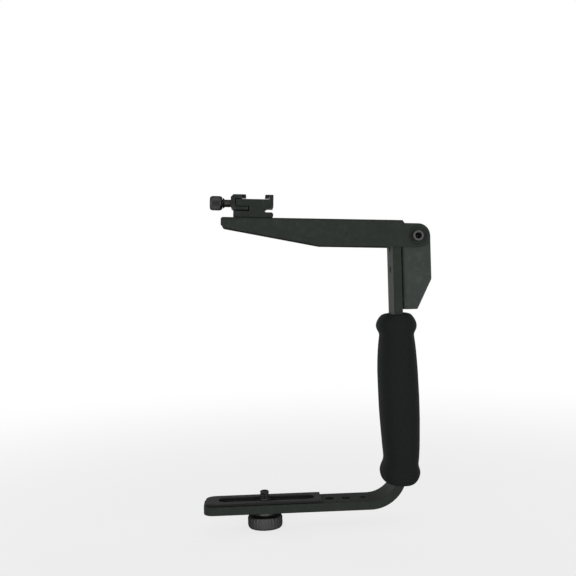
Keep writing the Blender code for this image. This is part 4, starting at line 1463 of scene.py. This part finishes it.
@dataclass
class PivotStack:
    """The pivot bolt and what it clamps, along the pivot from front to rear."""

    bracket: PivotBracket
    bolt_radius: float = 0.0025
    bolt_pitch: float = 0.0008
    bolt_ridges: int = 32
    head_radius: float = 0.0041
    head_height: float = 0.0028
    socket_across: float = 0.0040
    socket_depth: float = 0.0018
    bore_radius: float = 0.0028
    dish_floor: float = 0.0153
    washer_radius: float = 0.0062
    washer_thickness: float = 0.0005
    washer_edge: float = 0.0001
    spacer_radius: float = 0.0045
    spacer_edge: float = 0.0003
    spring_radius: float = 0.0046
    spring_thickness: float = 0.0009
    spring_split: float = radians(12)
    nut_across: float = 0.0080
    nut_height: float = 0.0034
    nut_chamfer: float = 0.0004
    nut_ends: Point = (0.97, 0.99)
    collar_height: float = 0.0014
    collar_radius: float = 0.0039
    collar_chamfer: Point = (0.0002, 0.0003)
    insert_radius: float = 0.0032
    insert_height: float = 0.0010
    tip_proud: float = 0.0006

    def build(self, workshop: Workshop) -> None:
        """Builds the stack.

        Args:
            workshop: What finishes the pieces.
        """
        middle = Matrix.Translation(joint_named("arm_flip")["pos_m"])
        rearward = middle @ turned_to((0, 1, 0))
        forward = middle @ turned_to((0, -1, 0))
        low = self.bracket.bar.half + GAP
        seat = -self.dish_floor - GAP
        spring_low = self.dish_floor + GAP
        spring_high = spring_low + self.spring_thickness
        nut_low = spring_high + GAP
        nut_high = nut_low + self.nut_height + self.collar_height
        bolt = CapScrew(
            self.head_radius, self.head_height, length=nut_high + self.tip_proud - seat,
            radius=self.bolt_radius, socket_across=self.socket_across, socket_depth=self.socket_depth,
            pitch=self.bolt_pitch, plain_length=2 * self.dish_floor, ridges=self.bolt_ridges,
        )
        form = bolt.form().moved(Matrix.Translation((0, 0, seat - bolt.head_height)))
        workshop.add("socket_bolt", form, Slot.DARK_STEEL, Body.FRAME, "pivot_bolt", rearward)
        half = self.bracket.bar.half - self.bracket.sheet - GAP
        spacer = Form.ring(self.bore_radius, self.spacer_radius, -half, half, self.spacer_edge)
        workshop.add("spacer_tube", spacer, Slot.DARK_STEEL, Body.FRAME, "pivot_spacer", rearward)
        for side, place in (("front", forward), ("rear", rearward)):
            washer = Form.ring(
                self.bore_radius, self.washer_radius, low, low + self.washer_thickness, self.washer_edge
            )
            piece = f"{side}_nylon_washer"
            workshop.add(piece, washer, Slot.NYLON, Body.FRAME, f"friction_washer_{side}", place)
        spring = Form.open_ring(
            self.bore_radius, self.spring_radius, spring_low, spring_high, self.spring_split
        )
        insert = Form.ring(
            self.bore_radius, self.insert_radius, nut_high - self.insert_height, nut_high, self.washer_edge
        )
        for piece, form, slot, node in (
            ("split_spring_washer", spring, Slot.DARK_STEEL, "pivot_spring_washer"),
            ("lock_nut", self._nut(nut_low, nut_high), Slot.DARK_STEEL, "pivot_nut"),
            ("nylon_lock_ring", insert, Slot.NYLON, "pivot_nut_insert"),
        ):
            workshop.add(piece, form, slot, Body.FRAME, node, rearward)

    def _nut(self, low: float, high: float) -> Form:
        """The lock nut: a chamfered hexagon with a round collar that holds the nylon ring.

        Args:
            low: Its lower face.
            high: Its collar's end.

        Returns:
            The nut.
        """
        corner = self.nut_across / sqrt(3)
        shelf = low + self.nut_height
        lower, upper = (self.nut_across / 2 * share for share in self.nut_ends)
        inward, down = self.collar_chamfer
        crown = Form.spun([
            (lower, low), (corner, low + self.nut_chamfer), (corner, shelf - self.nut_chamfer),
            (upper, shelf), (self.collar_radius, shelf), (self.collar_radius, high - down),
            (self.collar_radius - inward, high),
        ])
        nut = Form.hexagon(self.nut_across, low, high).joined(Join.KEEP, crown)
        pocket_low = high - self.insert_height - GAP
        pocket = self.insert_radius + GAP
        bore = Form.spun([
            (self.bore_radius, low - OVERRUN), (self.bore_radius, pocket_low), (pocket, pocket_low),
            (pocket, high + OVERRUN),
        ])
        return nut.joined(Join.CUT, bore)


@dataclass
class FlipArm:
    """The folded arm, in the arm's own axes from the pivot."""

    sheet: float = 0.0015
    fold: float = 0.0022
    outer_face: float = 0.0163
    web_top: float = 0.0104
    web_end: float = 0.0106
    step_run: float = 0.0013
    ear_radius: float = 0.0083
    bottom: float = 0.0079
    taper_start: float = 0.0650
    taper_end: float = 0.1324
    taper_rise: float = 0.0036
    reach: float = 0.13363
    tip_radius: float = 0.0015
    dish_radius: float = 0.0066
    dish_floor_radius: float = 0.0052
    dish_depth: float = 0.0010
    bore_radius: float = 0.0028
    shoe_reach: float = 0.11033
    screw_spread: float = 0.0065
    screw_hole: float = 0.0023
    rim: float = 0.0002
    edge: float = 0.00022
    ear_steps: int = 16
    tip_steps: int = 6

    def build(self, workshop: Workshop) -> None:
        """Builds the arm.

        Args:
            workshop: What finishes the pieces.
        """
        open_end = -self.bottom - OVERRUN
        section = channel_outline(self.outer_face, self.sheet, self.fold, open_end, self.web_top, 1)
        arm = Form.prism(section, Axis.X, -self.reach - OVERRUN, self.ear_radius + OVERRUN)
        width = self.outer_face + OVERRUN
        arm.joined(Join.KEEP, Form.prism(self._side(), Axis.Y, -width, width))
        arm.joined(Join.CUT, self._relief())
        sides = [turned_to((0, way, 0)) for way in (-1, 1)]
        arm.joined(Join.ADD, *[self._bump().moved(turn) for turn in sides])
        arm.joined(Join.CUT, *[self._dish().moved(turn) for turn in sides])
        arm.softened(self.edge)
        bore = Form.bore(self.bore_radius, -width, width, turned_to((0, 1, 0)))
        holes = [
            Form.through_hole(self.screw_hole, self.web_top - self.sheet, self.web_top, self.rim).moved(
                Matrix.Translation((-self.shoe_reach, way * self.screw_spread, 0))
            )
            for way in (-1, 1)
        ]
        arm.joined(Join.CUT, bore, *holes)
        workshop.add("folded_arm", arm, Slot.BLACK_PAINT, Body.ARM, "flip_arm", axes_on_arm("arm_flip"))

    def _side(self) -> list[Point]:
        """Side view: tapered towards the tip, stepped down to the ears, round at the pivot.

        Returns:
            The outline.
        """
        outline = [(-self.web_end, self.web_top), (self.step_run - self.web_end, self.ear_radius)]
        outline += arc((0, 0), self.ear_radius, QUARTER_TURN, 0, self.ear_steps)
        outline += arc((self.ear_radius - self.bottom, 0), self.bottom, 0, -QUARTER_TURN, self.ear_steps)
        outline += [(-self.taper_start, -self.bottom), (-self.taper_end, self.taper_rise)]
        outline += [(-self.reach, self.taper_rise + self.tip_radius)]
        tip = (self.tip_radius - self.reach, self.web_top - self.tip_radius)
        return outline + arc(tip, self.tip_radius, pi, QUARTER_TURN, self.tip_steps)

    def _relief(self) -> Form:
        """What is cut away between the ears, where the web ends.

        Returns:
            The cutter.
        """
        inner = self.outer_face - self.sheet
        low = -self.bottom - 2 * OVERRUN
        right = self.ear_radius + 2 * OVERRUN
        corners = rectangle(-self.web_end, right, low, self.web_top + OVERRUN)
        return Form.prism(corners, Axis.Y, -inner, inner)

    def _bump(self) -> Form:
        """The dish's back, inside the ear, with its face to +Z.

        Returns:
            The form to add.
        """
        inner = self.outer_face - self.sheet
        return Form.spun([
            (self.dish_floor_radius, inner - self.dish_depth), (self.dish_radius, inner),
            (self.dish_radius, self.outer_face - self.rim),
        ])

    def _dish(self) -> Form:
        """The dish's hollow in the ear's outside, with its face to +Z.

        Returns:
            The cutter.
        """
        floor = self.outer_face - self.dish_depth
        slope = (self.dish_radius - self.dish_floor_radius) / self.dish_depth
        return Form.spun([
            (self.dish_floor_radius, floor), (self.dish_radius + slope * OVERRUN, self.outer_face + OVERRUN)
        ])


@dataclass
class FlashShoe:
    """The clamping shoe: the fixed block, its screws and the moving jaw, in the arm's own axes."""

    arm: FlipArm
    depth: float = 0.0240
    mouth_half: float = 0.0065
    channel_half: float = 0.0094
    floor: float = 0.0126
    lip_under: float = 0.0147
    lip_top: float = 0.0157
    block_left: float = 0.0151
    block_right: float = 0.0121
    body_left: float = 0.01335
    foot_height: float = 0.0045
    notch_inner: float = 0.0056
    notch_low: float = 0.0038
    notch_high: float = 0.0070
    notch_slope: float = 0.0012
    foot_chamfer: float = 0.0010
    jaw_left: float = 0.01685
    jaw_wall: float = 0.00315
    jaw_chamfer: float = 0.0018
    jaw_bottom: float = 0.0052
    tongue_right: float = 0.0050
    tongue_top: float = 0.0075
    tongue_clearance: float = 0.0006
    axis_height: float = 0.0102
    thread_hole: float = 0.0018
    clip_pocket: float = 0.0032
    clip_pocket_depth: float = 0.0011
    clip_relief: float = 0.0010
    rib_reach: float = 0.0062
    rib_depth: float = 0.0030
    rib_clearance: float = 0.0006
    rib_inset: float = 0.0002
    screw_reach: float = 0.0075
    head_radius: float = 0.0036
    head_height: float = 0.0024
    washer_radius: float = 0.0042
    washer_thickness: float = 0.0008
    washer_edge: float = 0.0001
    edge: float = 0.00035
    hole_count: int = 32

    def build(self, workshop: Workshop) -> None:
        """Builds the block, its fixings and the jaw.

        Args:
            workshop: What finishes the pieces.
        """
        place = axes_on_arm("arm_flip")
        workshop.add("shoe_body", self._block(), Slot.BLACK_ALLOY, Body.ARM, "shoe_block", place)
        self._fixings(workshop, place)
        place = axes_on_arm("thumb_turn")
        workshop.add("sliding_jaw", self._jaw(), Slot.BLACK_ALLOY, Body.JAW, "clamp_jaw", place)

    def _block(self) -> Form:
        """The fixed half of the shoe, from the arm's pivot.

        Returns:
            The block.
        """
        slot_high = self.tongue_top + GAP
        slot_end = self.tongue_clearance - self.tongue_right
        edge_right = self.block_right - self.foot_chamfer
        outline = [
            (-self.block_left, GAP), (edge_right, GAP), (self.block_right, GAP + self.foot_chamfer),
            (self.block_right, self.notch_low - self.foot_chamfer), (edge_right, self.notch_low),
            (self.notch_inner + self.notch_slope, self.notch_low),
            (self.notch_inner, (self.notch_low + self.notch_high) / 2),
            (self.notch_inner + 2 * self.notch_slope, self.notch_high), (self.block_right, self.notch_high),
            (self.block_right, self.lip_top), (self.mouth_half, self.lip_top),
            (self.mouth_half, self.lip_under), (self.channel_half, self.lip_under),
            (self.channel_half, self.floor), (-self.body_left, self.floor), (-self.body_left, slot_high),
            (slot_end, slot_high), (slot_end, self.foot_height), (-self.block_left, self.foot_height),
        ]
        rear = self.depth / 2
        block = Form.prism(outline, Axis.Y, -rear, rear).softened(self.edge)
        start = turned_to((1, 0, 0), (-self.block_left, 0, self.axis_height))
        bore = Form.bore(self.thread_hole, 0, self.block_left, start, self.hole_count)
        taps = [
            Form.bore(
                self.arm.screw_hole, -OVERRUN, self.screw_reach + GAP,
                Matrix.Translation((0, way * self.arm.screw_spread, 0)), self.hole_count,
            )
            for way in (-1, 1)
        ]
        block.joined(Join.CUT, bore, *taps)
        rib = rectangle(
            -self.rib_reach, slot_end + OVERRUN, self.foot_height - self.rib_inset, slot_high + self.rib_inset
        )
        block.joined(Join.ADD, Form.prism(rib, Axis.Y, rear - self.rib_depth, rear - self.rib_inset))
        return block.moved(Matrix.Translation((-self.arm.shoe_reach, 0, self.arm.web_top)))

    def _jaw(self) -> Form:
        """The moving jaw, from the thumbscrew's axis.

        Returns:
            The jaw.
        """
        wall = self.jaw_wall - self.jaw_left
        rest = self.floor + GAP
        edge_left = self.jaw_chamfer - self.jaw_left
        outline = [
            (edge_left, self.jaw_bottom), (-self.tongue_right, self.jaw_bottom),
            (-self.tongue_right, self.tongue_top), (wall, self.tongue_top), (wall, rest),
            (-self.channel_half, rest), (-self.channel_half, self.lip_under),
            (-self.mouth_half, self.lip_under), (-self.mouth_half, self.lip_top), (edge_left, self.lip_top),
            (-self.jaw_left, self.lip_top - self.jaw_chamfer),
            (-self.jaw_left, self.jaw_bottom + self.jaw_chamfer),
        ]
        lowered = [(across, height - self.axis_height) for across, height in outline]
        rear = self.depth / 2
        jaw = Form.prism(lowered, Axis.Y, -rear, rear).softened(self.edge)
        outside = turned_to((1, 0, 0), (-self.jaw_left, 0, 0))
        hole = Form.bore(self.thread_hole, -OVERRUN, self.jaw_wall + OVERRUN, outside, self.hole_count)
        seat = turned_to((1, 0, 0), (wall - self.clip_pocket_depth, 0, 0))
        pocket = Form.bore(self.clip_pocket, 0, self.clip_pocket_depth + self.clip_relief, seat)
        relief = rectangle(
            -self.rib_reach - self.rib_clearance, OVERRUN - self.tongue_right,
            self.jaw_bottom - OVERRUN - self.axis_height, self.tongue_top + OVERRUN - self.axis_height,
        )
        clear = Form.prism(relief, Axis.Y, rear - self.rib_depth - GAP, rear + OVERRUN)
        return jaw.joined(Join.CUT, hole, pocket, clear)

    def _fixings(self, workshop: Workshop, axes: Matrix) -> None:
        """The two screws that come up through the arm's web, and their washers.

        Args:
            workshop: What finishes the pieces.
            axes: The arm's own axes at its pivot.
        """
        washer_low = self.arm.web_top - self.arm.sheet - GAP - self.washer_thickness
        head_seat = washer_low - GAP
        length = self.arm.web_top + self.screw_reach - head_seat
        screw = CapScrew(self.head_radius, self.head_height, length)
        for side, way in (("front", -1), ("rear", 1)):
            washer = Form.ring(
                self.arm.screw_hole, self.washer_radius, 0, self.washer_thickness, self.washer_edge
            )
            for piece, form, node, height in (
                (f"{side}_shoe_screw", screw.form(), f"shoe_screw_{side}", head_seat - self.head_height),
                (f"{side}_shoe_washer", washer, f"shoe_screw_washer_{side}", washer_low),
            ):
                at = (-self.arm.shoe_reach, way * self.arm.screw_spread, height)
                workshop.add(piece, form, Slot.DARK_STEEL, Body.ARM, node, axes @ Matrix.Translation(at))


@dataclass
class Thumbscrew:
    """The knurled thumbscrew, in the arm's own axes from the middle of the shoe, its head to the left."""

    shoe: FlashShoe
    head_end: float = 0.0314
    head_start: float = 0.0229
    head_radius: float = 0.0050
    dimple_shares: Point = (0.52, 0.58)
    dimple_depth: float = 0.0004
    knurl_depth: float = 0.00025
    knurl_lead: float = 0.0003
    knurl_teeth: int = 40
    chamfer: float = 0.0013
    cone_radius: float = 0.0038
    collar_radius: float = 0.0030
    collar_length: float = 0.0016
    shank_radius: float = 0.0026
    shank_edge: float = 0.0002
    shank_count: int = 32
    thread_radius: float = 0.0015
    thread_pitch: float = 0.0005
    thread_lead: float = 0.0001
    tip: float = 0.0040
    clip_radius: float = 0.0029
    clip_thickness: float = 0.0005
    clip_opening: float = radians(70)

    def build(self, workshop: Workshop) -> None:
        """Builds the knob, the stud and the clip.

        Args:
            workshop: What finishes the pieces.
        """
        place = axes_on_arm("thumb_turn") @ turned_to((1, 0, 0))
        socket_end = -self.head_start - (self.head_end - self.head_start) / 2
        clip_low = self.shoe.jaw_wall - self.shoe.jaw_left - self.clip_thickness - GAP
        clip_high = clip_low + self.clip_thickness
        clip = Form.open_ring(
            self.thread_radius + GAP, self.clip_radius, clip_low, clip_high, self.clip_opening
        )
        for piece, form, node in (
            ("knurled_thumb_knob", self._knob(socket_end), "thumb_knob"),
            ("shouldered_stud", self._stud(socket_end), "thumb_stud"),
            ("jaw_snap_clip", clip, "jaw_clip"),
        ):
            workshop.add(piece, form, Slot.DARK_STEEL, Body.THUMBSCREW, node, place)

    def _knob(self, socket_end: float) -> Form:
        """The knurled head, with a shallow dimple in its face and a socket for the stud.

        Args:
            socket_end: Where its socket ends.

        Returns:
            The knob.
        """
        inner, outer = (self.head_radius * share for share in self.dimple_shares)
        profile: list[Row] = [(inner, -self.head_end + self.dimple_depth), (outer, -self.head_end)]
        ends = (-self.head_end, -self.head_start)
        profile += knob_rows(
            self.head_radius, self.knurl_depth, self.knurl_teeth, ends, self.chamfer, self.knurl_lead
        )
        knob = Form.spun(profile, count=self.knurl_teeth * POINTS_A_RIDGE)
        mouth = OVERRUN - self.head_start
        return knob.joined(
            Join.CUT, Form.bore(self.shank_radius + GAP, socket_end, mouth, count=self.shank_count)
        )

    def _stud(self, socket_end: float) -> Form:
        """The stud: a collar, a smooth shank and the thread that goes into the block.

        Args:
            socket_end: Where the knob's socket ends.

        Returns:
            The stud.
        """
        collar_low = GAP - self.head_start
        collar_high = self.collar_length - self.head_start
        shoulder = -self.shoe.jaw_left - GAP
        clip_end = self.shoe.jaw_wall - self.shoe.jaw_left
        profile: list[Row] = [(self.shank_radius, socket_end + GAP), (self.shank_radius, collar_low)]
        profile += round_edge(self.cone_radius, collar_low, self.shank_edge, rising=True, steps=2)
        profile += round_edge(self.collar_radius, collar_high, self.shank_edge, rising=False, steps=2)
        profile += [(self.shank_radius, collar_high)]
        profile += round_edge(self.shank_radius, shoulder, self.shank_edge, rising=False, steps=2)
        profile += [(self.thread_radius, shoulder), (self.thread_radius, clip_end)]
        profile += thread_rows(
            self.thread_radius, self.thread_pitch, clip_end + self.thread_lead,
            -self.tip - self.thread_pitch, -self.tip,
        )
        return Form.spun(profile, count=self.shank_count)


@dataclass
class CameraScrew:
    """The captive camera screw under the flat leg, with its knob, washer and clip."""

    bar: FlatBar
    stud_radius: float = 0.00317
    thread_pitch: float = 0.00127
    tip_turns: float = 0.6
    stud_tip: float = 0.0072
    washer_radius: float = 0.0080
    washer_thickness: float = 0.0010
    washer_edge: float = 0.0002
    knob_radius: float = 0.0120
    knob_height: float = 0.0085
    neck_radius: float = 0.0070
    neck_height: float = 0.0018
    neck_fillet: float = 0.0006
    neck_edge: float = 0.0003
    knob_chamfer: float = 0.0010
    knurl_depth: float = 0.00045
    knurl_lead: float = 0.0004
    knurl_teeth: int = 30
    coin_slot_half: float = 0.0010
    coin_slot_depth: float = 0.0018
    clip_radius: float = 0.0050
    clip_thickness: float = 0.0007
    clip_opening: float = radians(60)

    def build(self, workshop: Workshop) -> None:
        """Builds the washer, the knob, the stud and the clip.

        Args:
            workshop: What finishes the pieces.
        """
        place = self.bar.axes()
        under = -self.bar.thickness - GAP
        washer_low = under - self.washer_thickness
        bore = self.stud_radius + GAP
        washer = Form.ring(bore, self.washer_radius, washer_low, under, self.washer_edge)
        workshop.add(
            "nylon_slide_washer", washer, Slot.NYLON, Body.CAMERA_SLIDER, "camera_screw_washer", place
        )
        top = washer_low - GAP
        low = top - self.neck_height - self.knob_height
        clip = Form.open_ring(bore, self.clip_radius, GAP, GAP + self.clip_thickness, self.clip_opening)
        for piece, form, node in (
            ("coin_slot_knob", self._knob(top, low), "camera_knob"),
            ("threaded_camera_stud", self._stud(low + self.knob_height / 2 + GAP), "camera_stud"),
            ("camera_snap_clip", clip, "camera_screw_clip"),
        ):
            workshop.add(piece, form, Slot.DARK_STEEL, Body.CAMERA_SCREW, node, place)

    def _stud(self, root: float) -> Form:
        """The stud, threaded from above the clip to its tip.

        Args:
            root: Its lower end, in the knob.

        Returns:
            The stud.
        """
        clip_end = 2 * GAP + self.clip_thickness
        profile: list[Row] = [(self.stud_radius, height) for height in (root, GAP, clip_end)]
        profile += thread_rows(
            self.stud_radius, self.thread_pitch, 3 * GAP + self.clip_thickness,
            self.stud_tip - self.thread_pitch * self.tip_turns, self.stud_tip,
        )
        return Form.spun(profile)

    def _knob(self, top: float, low: float) -> Form:
        """The knob, with a coin slot in its underside.

        Args:
            top: Its neck's end.
            low: Its underside.

        Returns:
            The knob.
        """
        shelf = top - self.neck_height
        ends = (low, shelf)
        profile = knob_rows(
            self.knob_radius, self.knurl_depth, self.knurl_teeth, ends, self.knob_chamfer, self.knurl_lead
        )
        fillet = self.neck_fillet
        profile += [(self.neck_radius + fillet, shelf), (self.neck_radius, shelf + fillet)]
        profile += round_edge(self.neck_radius, top, self.neck_edge, rising=False, steps=2)
        knob = Form.spun(profile, count=self.knurl_teeth * POINTS_A_RIDGE)
        reach = self.knob_radius + OVERRUN
        groove = rectangle(-reach, reach, low - OVERRUN, low + self.coin_slot_depth)
        coin_slot = Form.prism(groove, Axis.Y, -self.coin_slot_half, self.coin_slot_half)
        bore = Form.bore(self.stud_radius + GAP, low + self.knob_height / 2, top + OVERRUN)
        return knob.joined(Join.CUT, coin_slot, bore)


@dataclass
class Studio:
    """The pale floor, the white surroundings and the soft lamps."""

    floor_radius: float = 6.0
    floor_gap: float = 0.0002
    floor_shade: float = 0.80
    fade_start: float = 0.16
    fade_end: float = 0.75
    near_white_share: float = 0.74
    ambient: float = 0.32
    lamp_width: float = 0.9
    lamp_height: float = 0.30
    aim: Place = (0.05, 0, 0.09)
    lamps: tuple[tuple[str, Place, float], ...] = (
        ("key_lamp", (-0.73, -1.26, 0.16), 10.5),
        ("fill_lamp", (0.73, -1.26, 0.16), 9.5),
        ("left_rear_lamp", (-1.00, 1.20, 0.15), 15.0),
        ("right_rear_lamp", (1.25, 0.95, 0.15), 13.0),
    )

    def build(self) -> None:
        """Builds the floor, the world and the lamps."""
        self._floor()
        self._world()
        for name, place, power in self.lamps:
            self._lamp(name, place, power)
        LOG.info("studio ready")

    def _seen_directly(self, recipe: Recipe) -> tuple[Value, Value]:
        """Light Path's camera rays, and its glossy and transmission rays together.

        Args:
            recipe: The nodes to add to.

        Returns:
            Both factors, from 0 to 1.
        """
        path = recipe.node("ShaderNodeLightPath")
        mirrored = recipe.value(path, "Is Glossy Ray") + recipe.value(path, "Is Transmission Ray")
        return recipe.value(path, "Is Camera Ray"), mirrored.clamped()

    def _floor(self) -> None:
        """A wide floor that runs out into white and keeps the shadow near the object."""
        lowest = CAD_BOX[0][2] - self.floor_gap
        shape = bmesh.new()
        bmesh.ops.create_circle(shape, cap_ends=True, segments=96, radius=self.floor_radius)
        floor = Form(shape).as_object("studio_floor")
        floor.location = ((CAD_BOX[0][0] + CAD_BOX[1][0]) / 2, 0, lowest)
        made = bpy.data.materials.new("studio_floor")
        made.use_nodes = True
        recipe = Recipe(made.node_tree)
        place = recipe.node("ShaderNodeTexCoord").outputs["Object"]
        away = recipe.node("ShaderNodeVectorMath", {"operation": "LENGTH"}, {0: place})
        distance = recipe.value(away, "Value")
        fade = distance.between(self.fade_start, self.fade_end)
        whiteness = self.near_white_share + fade * (1 - self.near_white_share)
        camera_ray, mirrored = self._seen_directly(recipe)
        factor = (camera_ray * whiteness + mirrored).clamped()
        paint = recipe.node("ShaderNodeBsdfDiffuse", inputs={"Color": (*[self.floor_shade] * 3, 1)})
        white = recipe.node("ShaderNodeEmission", inputs={"Color": (1, 1, 1, 1), "Strength": 1.0})
        mixed = recipe.node(
            "ShaderNodeMixShader", inputs={0: factor, 1: paint.outputs[0], 2: white.outputs[0]}
        )
        recipe.node("ShaderNodeOutputMaterial", inputs={"Surface": mixed.outputs[0]})
        floor.data.materials.append(made)

    def _world(self) -> None:
        """White where the camera or a gloss sees it, and a plain ambient light otherwise."""
        world = bpy.data.worlds.new("studio_world")
        world.use_nodes = True
        recipe = Recipe(world.node_tree)
        camera_ray, mirrored = self._seen_directly(recipe)
        seen = (camera_ray + mirrored).clamped()
        strength = self.ambient + seen * (1 - self.ambient)
        sky = recipe.node("ShaderNodeBackground", inputs={"Color": (1, 1, 1, 1), "Strength": strength})
        recipe.node("ShaderNodeOutputWorld", inputs={"Surface": sky.outputs[0]})
        bpy.context.scene.world = world

    def _lamp(self, name: str, place: Place, power: float) -> None:
        """A long soft lamp, low over the floor, that faces the bracket.

        Args:
            name: Its name.
            place: Where it stands.
            power: Its power in watts.
        """
        light = bpy.data.lights.new(name, "AREA")
        light.shape = "RECTANGLE"
        light.size = self.lamp_width
        light.size_y = self.lamp_height
        light.energy = power
        lamp = bpy.data.objects.new(name, light)
        lamp.location = place
        towards = Vector(self.aim) - Vector(place)
        lamp.rotation_euler = towards.to_track_quat("-Z", "Y").to_euler()
        lamp.visible_camera = False
        bpy.context.scene.collection.objects.link(lamp)


@dataclass
class Viewpoint:
    """The photograph's camera."""

    place: Place = (-0.0042, -0.600, 0.1518)
    yaw: float = radians(-2.368)
    pitch: float = radians(-1.110)
    roll: float = radians(1.700)
    focal_length_mm: float = 54.17
    sensor_mm: float = 36.0

    def build(self) -> None:
        """Sets the scene's camera."""
        lens = bpy.data.cameras.new("photo_camera")
        lens.lens = self.focal_length_mm
        lens.sensor_width = self.sensor_mm
        lens.clip_start = 0.01
        lens.clip_end = 50
        camera = bpy.data.objects.new("photo_camera", lens)
        turn = (
            Matrix.Rotation(self.yaw, 4, "Z") @ Matrix.Rotation(self.pitch, 4, "X")
            @ Matrix.Rotation(self.roll, 4, "Y") @ Matrix.Rotation(QUARTER_TURN, 4, "X")
        )
        camera.matrix_world = Matrix.Translation(self.place) @ turn
        bpy.context.scene.collection.objects.link(camera)
        bpy.context.scene.camera = camera
        bpy.context.scene.view_settings.view_transform = "Standard"
        LOG.info("camera ready")


def main() -> None:
    """Builds the bracket, its studio and its view."""
    logging.basicConfig(level=logging.INFO, format="%(name)s: %(message)s")
    workshop = Workshop()
    bar = FlatBar()
    bracket = PivotBracket(bar)
    arm = FlipArm()
    shoe = FlashShoe(arm)
    sub_assemblies = (
        bar, FoamGrip(bar), CameraPad(bar), bracket, PivotStack(bracket),
        arm, shoe, Thumbscrew(shoe), CameraScrew(bar),
    )
    for sub_assembly in sub_assemblies:
        sub_assembly.build(workshop)
    Studio().build()
    Viewpoint().build()


if __name__ == "__main__":
    main()
